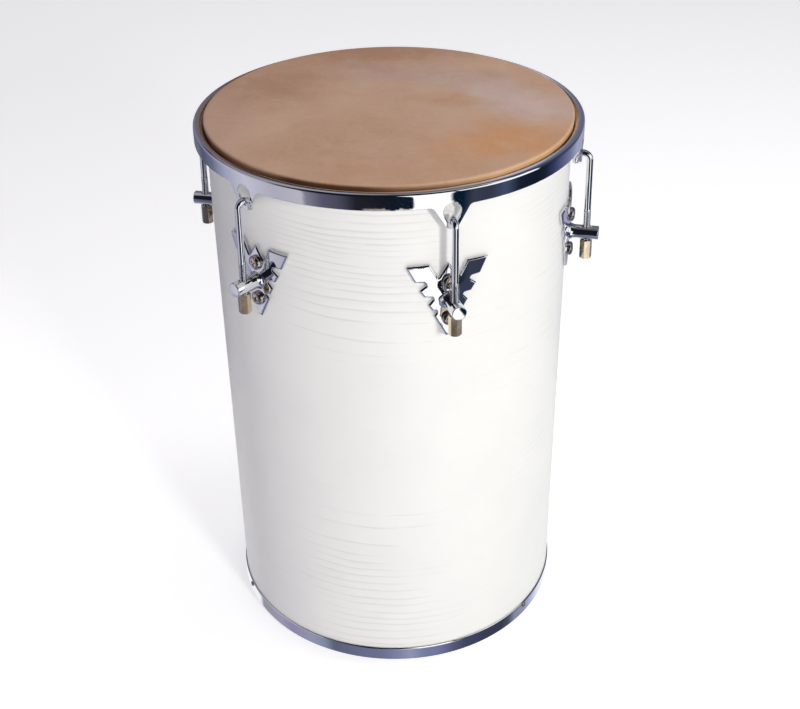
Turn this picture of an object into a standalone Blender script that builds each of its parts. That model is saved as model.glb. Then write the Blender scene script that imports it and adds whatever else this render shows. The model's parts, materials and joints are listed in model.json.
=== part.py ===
"""Rebolo drum, built as the real one comes apart: a wooden shell with a white
laminate covering, a hide head lapped round a flesh hoop, a chromed tension hoop
with six ears, hooked rods, lug plates with posts, long brass nuts, and a rim.

Metres, +Z up. The origin is the centre of the bottom plane. Azimuths are counted
from -Y (the front) towards +X.
"""

import math

import bmesh
import bpy
import numpy as np
from mathutils import Matrix, Vector
from mathutils.geometry import delaunay_2d_cdt

MM = 0.001

# ---------------------------------------------------------------- dimensions
SEGMENTS = 72                 # facets around the drum, a multiple of six
LUGS = 6
FIRST_LUG_AZIMUTH = 16.4      # degrees
PITCH_ANGLE = 360.0 / LUGS

# wooden shell and its covering
SHELL_R_IN = 145.3 * MM
SHELL_R_OUT = 151.3 * MM
SHELL_Z0 = 1.4 * MM
SHELL_Z1 = 480.6 * MM         # top of the bearing edge
WRAP_R_IN = 151.6 * MM
WRAP_R_OUT = 152.4 * MM
WRAP_Z0 = 3.4 * MM
WRAP_Z1 = 478.4 * MM

# hide head and the flesh hoop that it is lapped round
HIDE_T = 0.9 * MM
HIDE_Z1 = 481.8 * MM          # playing face
HIDE_COLLAR_R = 153.65 * MM   # outside of the collar
HIDE_FOLD = 1.6 * MM          # rounding at the edge of the face
LAP_R_OUT = 159.1 * MM
LAP_Z0 = 468.0 * MM
LAP_Z1 = 476.4 * MM
LAP_R_END = 155.2 * MM        # where the lapped edge of the hide ends
FLESH_R = (153.95 * MM, 157.9 * MM)
FLESH_Z = (469.2 * MM, 475.2 * MM)

# tension hoop
HOOP_R_OUT = 162.2 * MM
HOOP_R_IN = 160.4 * MM
HOOP_FLANGE_R = 156.6 * MM
HOOP_Z1 = 478.5 * MM
HOOP_Z0 = 465.2 * MM
HOOP_T = 1.8 * MM
HOOP_CORNER = 2.4 * MM
EAR_TIP_Z = 454.0 * MM        # centre of the ear's round tip
EAR_TIP_R = 7.2 * MM
EAR_ROOT_U = 13.2 * MM        # half width under the band
EAR_ROOT_Z = 462.3 * MM
EAR_FLARE_U = 17.4 * MM       # half width where it runs into the band
HOLE_TOP = (461.0 * MM, 7.0 * MM)      # centre height and radius
HOLE_LOW = (454.0 * MM, 3.25 * MM)

# tension rod: M6 rolled thread on a 5.4 mm wire
ROD_R = 2.7 * MM
ROD_THREAD_R = 2.95 * MM
ROD_AXIS_R = 168.8 * MM       # at the start of the hook
ROD_LEAN = 0.018              # the foot of each rod stands out a little further
ROD_TIP_R = 157.1 * MM        # inner leg of the hook
ROD_BEND_Z = 449.2 * MM
ROD_TIP_Z = 446.0 * MM
ROD_THREAD_Z = 404.0 * MM
ROD_END_Z = 362.0 * MM

# lug post
POST_R = 6.0 * MM
POST_Z = 383.3 * MM
POST_X = (155.7 * MM, 180.2 * MM)
POST_SPIGOT_R = 3.0 * MM
POST_SPIGOT_X = 152.95 * MM
POST_HOLE_R = 3.4 * MM
POST_ROOT = ((8.7 * MM, 155.7 * MM), (8.4 * MM, 156.4 * MM), (7.0 * MM, 158.2 * MM), (6.0 * MM, 161.2 * MM))

# tuning nut
NUT_AF = 9.2 * MM
NUT_Z = (359.9 * MM, 376.9 * MM)
NUT_BORE_R = 3.3 * MM
NUT_CHAMFER = 0.9 * MM
NUT_TURNS = (6.6, 18.6, 3.0, 25.0, 1.6, 15.2)   # how each one happens to sit, degrees

# lug plate: half outline (distance from its middle, height)
PLATE_R_IN = 152.7 * MM
PLATE_T = 2.7 * MM
PLATE_OUTLINE = (
    (0.0, 414.5),      # tip of the centre spike
    (8.4, 401.8),      # notch beside it
    (15.2, 414.4),     # inner corner of the wing
    (33.8, 414.0),     # outer corner of the wing
    (26.8, 400.0),
    (15.2, 399.0),     # first notch
    (23.4, 392.8),
    (19.2, 386.4),
    (11.2, 385.7),     # second notch
    (16.4, 379.6),
    (13.0, 373.8),
    (9.0, 373.4),      # third notch
    (11.8, 369.2),
    (1.6, 350.0),      # blunt lower tip
)

# screws through the plate, and their nuts inside
SCREW_Z = (398.9 * MM, 366.6 * MM)
SCREW_R = 2.9 * MM
SCREW_HEAD_R = 6.0 * MM
SCREW_HEAD_H = 3.6 * MM
SCREW_SEAT_X = 155.7 * MM
SCREW_END_X = 137.8 * MM
SCREW_HOLE_R = 3.3 * MM
INNER_NUT_AF = 10.0 * MM
INNER_NUT_X = 144.7 * MM      # face against the wood
INNER_NUT_H = 5.0 * MM

# bottom rim, a channel round the lower edge of the shell
RIM_T = 0.9 * MM
RIM_R_OUT = 153.6 * MM
RIM_R_IN = 144.1 * MM
RIM_Z1 = 15.5 * MM
RIM_LIP_Z = 8.0 * MM
RIM_ROUND = 3.0 * MM
RIVET_AZIMUTHS = (-68.0, 52.0, 172.0)
RIVET_Z = 11.8 * MM
RIVET_HEAD = (2.6 * MM, 1.2 * MM)
RIVET_R = 1.5 * MM
RIVET_END_X = 147.6 * MM


# ---------------------------------------------------------------- scene tools
for old in list(bpy.data.objects):
    bpy.data.objects.remove(old, do_unlink=True)


def material(name, colour, roughness, metallic=0.0):
    mat = bpy.data.materials.new(name)
    mat.use_nodes = True
    shader = mat.node_tree.nodes["Principled BSDF"]
    shader.inputs["Base Color"].default_value = (*colour, 1.0)
    shader.inputs["Roughness"].default_value = roughness
    shader.inputs["Metallic"].default_value = metallic
    mat.diffuse_color = (*colour, 1.0)
    return mat


CHROME = material("chrome", (0.62, 0.63, 0.68), 0.08, 1.0)
STEEL = material("zinc_plated_steel", (0.55, 0.55, 0.56), 0.3, 1.0)
BRASS = material("brass", (0.62, 0.48, 0.26), 0.28, 1.0)
HIDE = material("hide", (0.56, 0.33, 0.18), 0.6)
WOOD = material("wood", (0.52, 0.34, 0.19), 0.6)
LAMINATE = material("white_laminate", (0.86, 0.86, 0.84), 0.4)
FLESH_WIRE = material("flesh_hoop_steel", (0.35, 0.34, 0.33), 0.45, 1.0)


def empty(name, parent=None, location=(0, 0, 0), turn=0.0):
    obj = bpy.data.objects.new(name, None)
    bpy.context.scene.collection.objects.link(obj)
    obj.parent = parent
    obj.location = location
    obj.rotation_euler = (0, 0, math.radians(turn))
    return obj


def add(name, mesh, mat=None, parent=None, location=(0, 0, 0), rotation=(0, 0, 0)):
    obj = bpy.data.objects.new(name, mesh)
    bpy.context.scene.collection.objects.link(obj)
    obj.parent = parent
    obj.location = location
    obj.rotation_euler = rotation
    if mat and not mesh.materials:
        mesh.materials.append(mat)
    return obj


def finish(bm, name, mat=None, sharp=30.0):
    bmesh.ops.remove_doubles(bm, verts=bm.verts, dist=2e-6)
    bmesh.ops.recalc_face_normals(bm, faces=bm.faces)
    mesh = bpy.data.meshes.new(name)
    bm.to_mesh(mesh)
    bm.free()
    if mat:
        mesh.materials.append(mat)
    mesh.shade_smooth()
    mesh.set_sharp_from_angle(angle=math.radians(sharp))
    return mesh


def spin(profile, steps, closed=True, axis=(0, 0, 1)):
    """A turned solid: the (radius, height) points of a profile swept round the axis."""
    bm = bmesh.new()
    if axis == (0, 0, 1):
        verts = [bm.verts.new((r, 0.0, h)) for r, h in profile]
    else:                       # turned about +X, heights run along it
        verts = [bm.verts.new((h, 0.0, r)) for r, h in profile]
    edges = [bm.edges.new((a, b)) for a, b in zip(verts, verts[1:])]
    if closed:
        edges.append(bm.edges.new((verts[-1], verts[0])))
    bmesh.ops.spin(
        bm, geom=verts + edges, cent=(0, 0, 0), axis=axis,
        angle=2 * math.pi, steps=steps, use_merge=True, use_duplicate=False,
    )
    bmesh.ops.remove_doubles(bm, verts=bm.verts, dist=2e-6)
    bmesh.ops.dissolve_degenerate(bm, edges=bm.edges, dist=1e-8)
    bmesh.ops.recalc_face_normals(bm, faces=bm.faces)
    return bm


def cylinder(bm, radius, start, end, sides, matrix=Matrix.Identity(4), end_radius=None):
    """A solid cylinder or cone between two heights on +Z, moved by a matrix."""
    length = end - start
    bmesh.ops.create_cone(
        bm, cap_ends=True, segments=sides, radius1=radius,
        radius2=radius if end_radius is None else end_radius, depth=length,
        matrix=matrix @ Matrix.Translation((0, 0, start + length / 2)),
    )


def radial(azimuth_turn=0.0, height=0.0):
    """Takes +Z to the outward direction at a turn about the drum's axis, at a height."""
    return (
        Matrix.Rotation(math.radians(azimuth_turn), 4, "Z")
        @ Matrix.Translation((0, 0, height))
        @ Matrix.Rotation(math.radians(90), 4, "Y")
    )


def cutter(name, bm, parent=None):
    obj = add(name, finish(bm, name), parent=parent)
    obj.hide_render = True
    obj.display_type = "WIRE"
    return obj


def boolean(obj, other, operation):
    mod = obj.modifiers.new(f"{operation.lower()}_{other.name}", "BOOLEAN")
    mod.operation = operation
    mod.object = other
    mod.solver = "EXACT"
    return mod


def settled(obj, name, mat, sharp=30.0):
    """The mesh that an object's modifiers give, for the copies of a repeated piece."""
    bpy.context.view_layer.update()
    graph = bpy.context.evaluated_depsgraph_get()
    mesh = bpy.data.meshes.new_from_object(obj.evaluated_get(graph))
    mesh.name = name
    mesh.materials.clear()
    mesh.materials.append(mat)
    mesh.shade_smooth()
    mesh.set_sharp_from_angle(angle=math.radians(sharp))
    helpers = [m.object for m in obj.modifiers if m.type == "BOOLEAN"]
    for helper in [obj] + helpers:
        bpy.data.objects.remove(helper, do_unlink=True)
    return mesh


def arc(centre, radius, start, end, steps):
    """Points of an arc, angles in degrees, both ends included."""
    return [
        (centre[0] + radius * math.cos(a), centre[1] + radius * math.sin(a))
        for a in np.radians(np.linspace(start, end, steps + 1))
    ]


def inside(point, loop):
    """Whether a point lies inside a closed outline."""
    x, y = point
    crossed = False
    for (x0, y0), (x1, y1) in zip(loop, loop[1:] + loop[:1]):
        if (y0 > y) != (y1 > y) and x < x0 + (y - y0) * (x1 - x0) / (y1 - y0):
            crossed = not crossed
    return crossed


def flat_sheet(outline, holes, cuts, span):
    """Triangles that fill an outline less its holes, in (arc length, height). Upright
    cuts at the given arc lengths let it bend round the drum afterwards."""
    points, edges = [], []
    for loop in [outline] + holes:
        start = len(points)
        points += [Vector(p) for p in loop]
        edges += [(start + n, start + (n + 1) % len(loop)) for n in range(len(loop))]
    for u in cuts:
        edges.append((len(points), len(points) + 1))
        points += [Vector((u, span[0])), Vector((u, span[1]))]
    found = delaunay_2d_cdt(points, edges, [], 0, 1e-8)
    points, faces = found[0], found[2]
    kept = []
    for face in faces:
        middle = sum((points[v] for v in face), Vector((0.0, 0.0))) / len(face)
        if inside(middle, outline) and not any(inside(middle, hole) for hole in holes):
            kept.append(face)
    return points, kept


def bend(bm, sheet, r_in, r_out, turn=0.0, reference=None, open_at=()):
    """Makes a flat sheet a wall of the cylinder between two radii about the drum's
    axis. Its edges get side faces, but for those that lie along the open lines,
    which are ("u" or "z", place) pairs and meet another part of the same solid."""
    points, faces = sheet
    reference = reference or r_out

    def placed(point, radius):
        angle = point.x / reference + math.radians(turn)
        return bm.verts.new((radius * math.cos(angle), radius * math.sin(angle), point.y))

    outer, inner, sides = {}, {}, {}
    for face in faces:
        for v in face:
            if v not in outer:
                outer[v] = placed(points[v], r_out)
                inner[v] = placed(points[v], r_in)
        bm.faces.new([outer[v] for v in face])
        bm.faces.new([inner[v] for v in reversed(face)])
        for pair in zip(face, face[1:] + face[:1]):
            key = tuple(sorted(pair))
            sides[key] = None if key in sides else pair
    for pair in sides.values():
        if pair is None:
            continue
        p, q = (points[v] for v in pair)
        along = False
        for kind, place in open_at:
            i = 0 if kind == "u" else 1
            along = along or (abs(p[i] - place) < 1e-6 and abs(q[i] - place) < 1e-6)
        if not along:
            bm.faces.new([outer[pair[0]], inner[pair[0]], inner[pair[1]], outer[pair[1]]])


def sweep(path, sides):
    """A round bar along a path of (x, z, radius) points in the XZ plane."""
    bm = bmesh.new()
    rings = []
    for n, (x, z, radius) in enumerate(path):
        before = Vector(path[max(n - 1, 0)][:2])
        after = Vector(path[min(n + 1, len(path) - 1)][:2])
        along = (after - before).normalized()
        across = Vector((-along.y, 0.0, along.x))
        rings.append([
            bm.verts.new(Vector((x, 0.0, z)) + across * (radius * math.cos(a))
                         + Vector((0.0, radius * math.sin(a), 0.0)))
            for a in np.linspace(0, 2 * math.pi, sides, endpoint=False)
        ])
    for one, two in zip(rings, rings[1:]):
        for n in range(sides):
            bm.faces.new([one[n], one[(n + 1) % sides], two[(n + 1) % sides], two[n]])
    bm.faces.new(rings[0])
    bm.faces.new(rings[-1])
    return bm


# The drum's own frame: +X of this empty points at the first lug.
drum = empty("drum_axis", turn=FIRST_LUG_AZIMUTH - 90.0)
stations = [empty(f"lug_station_{n + 1}", drum, turn=n * PITCH_ANGLE) for n in range(LUGS)]


# ---------------------------------------------------------------- shell
bm = spin(
    [
        (SHELL_R_IN, SHELL_Z0 + 2.4 * MM), (SHELL_R_IN + 2.4 * MM, SHELL_Z0),
        (SHELL_R_OUT - 0.6 * MM, SHELL_Z0),
        (SHELL_R_OUT, SHELL_Z0 + 1.2 * MM), (SHELL_R_OUT, SHELL_Z1 - 1.6 * MM),
        (SHELL_R_OUT - 0.6 * MM, SHELL_Z1 - 0.4 * MM), (SHELL_R_OUT - 1.8 * MM, SHELL_Z1),
        (SHELL_R_OUT - 2.6 * MM, SHELL_Z1), (SHELL_R_IN, SHELL_Z1 - 3.4 * MM),
    ],
    SEGMENTS,
)
shell = add("wood_shell", finish(bm, "wood_shell", WOOD), parent=drum)

bm = spin(
    [(WRAP_R_IN, WRAP_Z0), (WRAP_R_OUT, WRAP_Z0), (WRAP_R_OUT, WRAP_Z1), (WRAP_R_IN, WRAP_Z1)],
    SEGMENTS,
)
wrap = add("white_covering", finish(bm, "white_covering", LAMINATE), parent=drum)

# clearance holes for the lug screws, and the rivets' holes
bm = bmesh.new()
for n in range(LUGS):
    for z in SCREW_Z:
        cylinder(bm, SCREW_HOLE_R, 140 * MM, 160 * MM, 12, radial(n * PITCH_ANGLE, z))
screw_holes = cutter("screw_hole_cutter", bm, drum)
bm = bmesh.new()
for azimuth in RIVET_AZIMUTHS:
    cylinder(bm, RIVET_R + 0.3 * MM, RIVET_END_X - 0.4 * MM, 160 * MM, 12,
             radial(azimuth - FIRST_LUG_AZIMUTH, RIVET_Z))
rivet_holes = cutter("rivet_hole_cutter", bm, drum)
for obj in (shell, wrap):
    boolean(obj, screw_holes, "DIFFERENCE")
    boolean(obj, rivet_holes, "DIFFERENCE")


# ---------------------------------------------------------------- head
fold_centre = (HIDE_COLLAR_R - HIDE_FOLD, HIDE_Z1 - HIDE_FOLD)
inner_fold = HIDE_FOLD - HIDE_T
profile = [(0.0, HIDE_Z1), (76 * MM, HIDE_Z1)]
profile += [(r, z) for r, z in arc(fold_centre, HIDE_FOLD, 90, 0, 2)]
profile += [
    (HIDE_COLLAR_R, LAP_Z0 + HIDE_T),
    (LAP_R_OUT - HIDE_T, LAP_Z0 + HIDE_T),
    (LAP_R_OUT - HIDE_T, LAP_Z1 - HIDE_T),
    (LAP_R_END, LAP_Z1 - HIDE_T),
    (LAP_R_END, LAP_Z1),
    (LAP_R_OUT - 0.6 * MM, LAP_Z1),
    (LAP_R_OUT, LAP_Z1 - 0.6 * MM),
    (LAP_R_OUT, LAP_Z0 + 0.7 * MM),
    (LAP_R_OUT - 0.7 * MM, LAP_Z0),
    (HIDE_COLLAR_R - HIDE_T + 0.5 * MM, LAP_Z0),
    (HIDE_COLLAR_R - HIDE_T, LAP_Z0 + 0.5 * MM),
]
profile += [(r, z) for r, z in arc(fold_centre, inner_fold, 0, 90, 1)]
profile += [(76 * MM, HIDE_Z1 - HIDE_T), (0.0, HIDE_Z1 - HIDE_T)]
bm = spin(profile, SEGMENTS, closed=False)
add("drum_skin", finish(bm, "drum_skin", HIDE), parent=drum)

bm = spin(
    [
        (FLESH_R[0], FLESH_Z[0]), (FLESH_R[1], FLESH_Z[0]),
        (FLESH_R[1], FLESH_Z[1]), (FLESH_R[0], FLESH_Z[1]),
    ],
    SEGMENTS,
)
add("flesh_hoop", finish(bm, "flesh_hoop", FLESH_WIRE), parent=drum)


# ---------------------------------------------------------------- tension hoop
def ear_outline():
    """Lower edge of the band at one lug: down the flare, round the tip and up again."""
    root = Vector((EAR_ROOT_U, EAR_ROOT_Z))
    tip = Vector((0.0, EAR_TIP_Z))
    away = root - tip
    touch = math.degrees(math.atan2(away.y, away.x) - math.acos(EAR_TIP_R / away.length))
    half = [
        (EAR_FLARE_U, HOOP_Z0), (EAR_ROOT_U + 1.6 * MM, HOOP_Z0 - 1.0 * MM),
        (EAR_ROOT_U, EAR_ROOT_Z),
    ]
    half += arc(tip, EAR_TIP_R, touch, -90, 4)
    return half + [(-u, z) for u, z in reversed(half[:-1])]


def hole_outline(steps=5):
    """Teardrop: a large round top and a small round bottom that the hook pulls into."""
    (z1, r1), (z0, r0) = HOLE_TOP, HOLE_LOW
    lean = math.degrees(math.asin((r1 - r0) / (z1 - z0)))
    return arc((0.0, z1), r1, -lean, 180 + lean, 2 * steps) + arc(
        (0.0, z0), r0, 180 + lean, 360 - lean, steps
    )


step = HOOP_R_OUT * 2 * math.pi / SEGMENTS      # arc length of one facet
top = HOOP_Z1 - HOOP_CORNER                     # where the band turns into the corner
across = SEGMENTS // LUGS // 2                  # facets on each side of a lug
outline = [(n * step, HOOP_Z0) for n in range(-across, -1)]
outline += list(reversed(ear_outline()))
outline += [(n * step, HOOP_Z0) for n in range(2, across + 1)]
outline += [(n * step, top) for n in range(across, -across - 1, -1)]
cuts = [n * step for n in range(1 - across, across)]
sector = flat_sheet(outline, [hole_outline()], cuts, (HOOP_Z0 - 30 * MM, top + 1 * MM))

bm = spin(
    arc((HOOP_R_OUT - HOOP_CORNER, top), HOOP_CORNER, 0, 90, 3)
    + [
        (HOOP_FLANGE_R + 0.4 * MM, HOOP_Z1), (HOOP_FLANGE_R, HOOP_Z1 - 0.4 * MM),
        (HOOP_FLANGE_R, HOOP_Z1 - HOOP_T), (HOOP_R_IN, HOOP_Z1 - HOOP_T), (HOOP_R_IN, top),
    ],
    SEGMENTS, closed=False,
)
for n in range(LUGS):
    bend(bm, sector, HOOP_R_IN, HOOP_R_OUT, n * PITCH_ANGLE,
         open_at=(("z", top), ("u", across * step), ("u", -across * step)))
hoop = add("tension_hoop", finish(bm, "tension_hoop", CHROME), parent=drum)


# ---------------------------------------------------------------- bottom rim
outer = (RIM_R_OUT - RIM_ROUND, RIM_ROUND)
inner = (RIM_R_IN + RIM_ROUND, RIM_ROUND)
profile = [(RIM_R_OUT - RIM_T, RIM_Z1)]
profile += arc(outer, RIM_ROUND - RIM_T, 0, -90, 2)
profile += arc(inner, RIM_ROUND - RIM_T, -90, -180, 1)
profile += [(RIM_R_IN + RIM_T, RIM_LIP_Z), (RIM_R_IN, RIM_LIP_Z)]
profile += arc(inner, RIM_ROUND, -180, -90, 2)
profile += arc(outer, RIM_ROUND, -90, 0, 3)
profile += [(RIM_R_OUT, RIM_Z1 - 0.3 * MM), (RIM_R_OUT - 0.3 * MM, RIM_Z1)]
rim = add("bottom_rim", finish(spin(profile, SEGMENTS), "bottom_rim", CHROME), parent=drum)
boolean(rim, rivet_holes, "DIFFERENCE")

seat = RIM_R_OUT + 0.3 * MM
head_r, head_h = RIVET_HEAD
profile = [(0.0, seat + head_h)] + [
    (head_r * math.sin(a), seat + head_h * math.cos(a)) for a in np.radians((35, 65))
] + [(head_r, seat), (RIVET_R, seat), (RIVET_R, RIVET_END_X + 0.5 * MM), (RIVET_R - 0.5 * MM, RIVET_END_X), (0.0, RIVET_END_X)]
rivet_mesh = finish(spin(profile, 12, closed=False, axis=(1, 0, 0)), "rim_rivet", STEEL)
for n, azimuth in enumerate(RIVET_AZIMUTHS):
    add(f"rim_rivet_{n + 1}", rivet_mesh, parent=drum, location=(0, 0, RIVET_Z),
        rotation=(0, 0, math.radians(azimuth - FIRST_LUG_AZIMUTH)))


# ---------------------------------------------------------------- lug plate
half = [(u * MM, z * MM) for u, z in PLATE_OUTLINE]
outline = half + [(-u, z) for u, z in reversed(half[1:])]
holes = [
    arc((0.0, z), r, 0, 330, 11)
    for z, r in ((SCREW_Z[0], SCREW_HOLE_R), (SCREW_Z[1], SCREW_HOLE_R), (POST_Z, POST_SPIGOT_R + 0.3 * MM))
]
cuts = [n * 6.7 * MM for n in range(-4, 5)]
bm = bmesh.new()
bend(bm, flat_sheet(outline, holes, cuts, (340 * MM, 420 * MM)), PLATE_R_IN, PLATE_R_IN + PLATE_T)
plate_mesh = finish(bm, "lug_plate", CHROME)


# ---------------------------------------------------------------- lug post
def rod_x(z):
    """How far out the axis of a rod lies at a height."""
    return ROD_AXIS_R + ROD_LEAN * max(0.0, ROD_BEND_Z - z)


ALONG_ROD = Matrix.Rotation(-math.atan(ROD_LEAN), 4, "Y")     # takes +Z to the rod's axis

x0, x1 = POST_X
profile = [(0.0, POST_SPIGOT_X), (POST_SPIGOT_R, POST_SPIGOT_X), (POST_SPIGOT_R, x0)]
profile += list(POST_ROOT)
profile += [
    (POST_R, x1 - 0.8 * MM),
    (POST_R - 0.25 * MM, x1 - 0.25 * MM), (POST_R - 0.8 * MM, x1), (0.0, x1),
]
blank = add("post_blank", finish(spin(profile, 24, closed=False, axis=(1, 0, 0)), "post_blank"))
bm = bmesh.new()
cylinder(bm, POST_HOLE_R, -9 * MM, 9 * MM, 16, Matrix.Translation((rod_x(POST_Z), 0, 0)) @ ALONG_ROD)
boolean(blank, cutter("post_drill", bm), "DIFFERENCE")
post_mesh = settled(blank, "lug_post", CHROME)


# ---------------------------------------------------------------- tuning nut
def hexagon(bm, across_flats, start, end, matrix=Matrix.Identity(4)):
    cylinder(bm, across_flats / math.sqrt(3), start, end, 6, matrix)


length = NUT_Z[1] - NUT_Z[0]
corner_r = NUT_AF / math.sqrt(3)
bm = bmesh.new()
hexagon(bm, NUT_AF, 0.0, length)
blank = add("nut_blank", finish(bm, "nut_blank"))
face_r = NUT_AF / 2 - 0.15 * MM
low = (corner_r - face_r) * 0.62
turned = cutter("nut_turning", spin(
    [(0.0, -0.01 * MM), (face_r, -0.01 * MM), (corner_r + 0.3 * MM, low + 0.3 * MM),
     (corner_r + 0.3 * MM, length - low - 0.3 * MM), (face_r, length + 0.01 * MM), (0.0, length + 0.01 * MM)],
    24, closed=False))
boolean(blank, turned, "INTERSECT")
bm = bmesh.new()
cylinder(bm, NUT_BORE_R, -1 * MM, length + 1 * MM, 16)
boolean(blank, cutter("nut_drill", bm), "DIFFERENCE")
nut_mesh = settled(blank, "tuning_nut", BRASS, 20.0)


# ---------------------------------------------------------------- lug screws
r, h = SCREW_HEAD_R, SCREW_HEAD_H
profile = [
    (0.0, h), (r * 0.6, h * 0.96), (r * 0.9, h * 0.68), (r, h * 0.3), (r, 0.0),
    (SCREW_R, 0.0), (SCREW_R, SCREW_END_X - SCREW_SEAT_X), (0.0, SCREW_END_X - SCREW_SEAT_X),
]
blank = add("screw_blank", finish(spin(profile, 16, closed=False, axis=(1, 0, 0)), "screw_blank"))
for turn in (0.0, 90.0):
    bm = bmesh.new()
    cylinder(bm, 0.8 * MM, h - 2.2 * MM, h + 0.6 * MM, 4,
             Matrix.Rotation(math.radians(90), 4, "Y")
             @ Matrix.Rotation(math.radians(turn), 4, "Z")
             @ Matrix.Diagonal((3.2, 0.75, 1.0, 1.0))
             @ Matrix.Rotation(math.radians(45), 4, "Z"),
             end_radius=1.25 * MM)
    boolean(blank, cutter(f"cross_{turn:.0f}", bm), "DIFFERENCE")
screw_mesh = settled(blank, "lug_screw", STEEL)

bm = bmesh.new()
hexagon(bm, INNER_NUT_AF, 0.0, INNER_NUT_H)
blank = add("inner_blank", finish(bm, "inner_blank"))
bm = bmesh.new()
cylinder(bm, SCREW_R + 0.35 * MM, -1 * MM, INNER_NUT_H + 1 * MM, 12)
boolean(blank, cutter("inner_drill", bm), "DIFFERENCE")
inner_nut_mesh = settled(blank, "inner_nut", STEEL)


# ---------------------------------------------------------------- tension rod
middle = (ROD_AXIS_R + ROD_TIP_R) / 2
path = [
    (rod_x(ROD_END_Z), ROD_END_Z, ROD_THREAD_R * 0.8), (rod_x(ROD_END_Z), ROD_END_Z + 0.7 * MM, ROD_THREAD_R),
    (rod_x(ROD_THREAD_Z), ROD_THREAD_Z, ROD_THREAD_R), (rod_x(ROD_THREAD_Z), ROD_THREAD_Z + 0.4 * MM, ROD_R),
]
path += [(x, z, ROD_R) for x, z in arc((middle, ROD_BEND_Z), ROD_AXIS_R - middle, 0, 180, 8)]
path += [(ROD_TIP_R, ROD_TIP_Z + 0.7 * MM, ROD_R), (ROD_TIP_R, ROD_TIP_Z, ROD_R * 0.7)]
rod_mesh = finish(sweep(path, 12), "tension_rod", CHROME)


# ---------------------------------------------------------------- six lugs
for n, station in enumerate(stations):
    label = n + 1
    add(f"lug_plate_{label}", plate_mesh, parent=station)
    add(f"lug_post_{label}", post_mesh, parent=station, location=(0, 0, POST_Z))
    obj = add(f"tuning_nut_{label}", nut_mesh, parent=station, location=(rod_x(NUT_Z[0]), 0, NUT_Z[0]))
    obj.rotation_euler = (ALONG_ROD @ Matrix.Rotation(math.radians(NUT_TURNS[n]), 4, "Z")).to_euler()
    for z, place in zip(SCREW_Z, ("upper", "lower")):
        spin_turn = math.radians((37 * n + (20 if place == "upper" else 65)) % 90)
        add(f"lug_screw_{place}_{label}", screw_mesh, parent=station,
            location=(SCREW_SEAT_X, 0, z), rotation=(spin_turn, 0, 0))
        nut = add(f"inner_nut_{place}_{label}", inner_nut_mesh, parent=station,
                  location=(INNER_NUT_X, 0, z))
        nut.rotation_euler = Matrix.Rotation(math.radians(-90), 3, "Y").to_euler()
    add(f"tension_rod_{label}", rod_mesh, parent=station)
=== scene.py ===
"""Looks of the rebolo drum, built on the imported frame.

Metres, +Z up, the origin at the centre of the plane that the drum stands on.
Azimuths are counted from -Y (the front) towards +X. The drum's own frame has its
+X at the first lug.
"""

import json
import math

import bmesh
import bpy
import numpy as np
from mathutils import Matrix, Vector
from mathutils.geometry import delaunay_2d_cdt


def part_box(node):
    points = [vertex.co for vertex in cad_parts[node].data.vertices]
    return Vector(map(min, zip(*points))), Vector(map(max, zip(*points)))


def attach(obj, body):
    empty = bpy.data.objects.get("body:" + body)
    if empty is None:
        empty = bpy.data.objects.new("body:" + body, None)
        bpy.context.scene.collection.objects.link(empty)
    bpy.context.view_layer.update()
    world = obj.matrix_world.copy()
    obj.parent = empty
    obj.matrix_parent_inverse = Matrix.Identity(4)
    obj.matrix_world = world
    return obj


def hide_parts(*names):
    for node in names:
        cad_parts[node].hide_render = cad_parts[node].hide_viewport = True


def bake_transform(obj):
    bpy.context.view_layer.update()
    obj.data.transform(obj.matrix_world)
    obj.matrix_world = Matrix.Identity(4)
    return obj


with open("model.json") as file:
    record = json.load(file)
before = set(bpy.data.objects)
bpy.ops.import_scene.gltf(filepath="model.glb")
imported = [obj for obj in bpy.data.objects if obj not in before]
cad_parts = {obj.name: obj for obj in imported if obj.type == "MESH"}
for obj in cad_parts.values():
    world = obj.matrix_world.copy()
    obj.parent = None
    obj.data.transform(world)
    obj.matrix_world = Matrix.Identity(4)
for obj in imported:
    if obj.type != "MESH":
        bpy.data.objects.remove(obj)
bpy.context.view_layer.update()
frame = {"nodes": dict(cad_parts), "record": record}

MM = 0.001
LUGS = 6
FIRST_LUG = 16.4                      # azimuth of the first lug, degrees
DRUM_TURN = FIRST_LUG - 90.0          # turn of the drum's own frame about +Z


# ---------------------------------------------------------------- camera
def make_camera():
    distance, height = 1.0202594, 0.8819897
    yaw, pitch, roll = 0.0061694, 0.5622781, -0.0148231
    forward = Vector((math.sin(yaw) * math.cos(pitch), math.cos(yaw) * math.cos(pitch), -math.sin(pitch)))
    right = Vector((math.cos(yaw), -math.sin(yaw), 0.0))
    up = right.cross(forward)
    r = right * math.cos(roll) + up * math.sin(roll)
    u = up * math.cos(roll) - right * math.sin(roll)
    data = bpy.data.cameras.new("camera")
    data.sensor_width = 36.0
    data.lens = 1295.774 * 36.0 / 800.0
    data.clip_start, data.clip_end = 0.05, 50.0
    cam = bpy.data.objects.new("camera", data)
    bpy.context.scene.collection.objects.link(cam)
    turn = Matrix((r, u, -forward)).transposed().to_4x4()
    cam.matrix_world = Matrix.Translation((0.0, -distance, height)) @ turn
    bpy.context.scene.camera = cam


make_camera()


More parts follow.
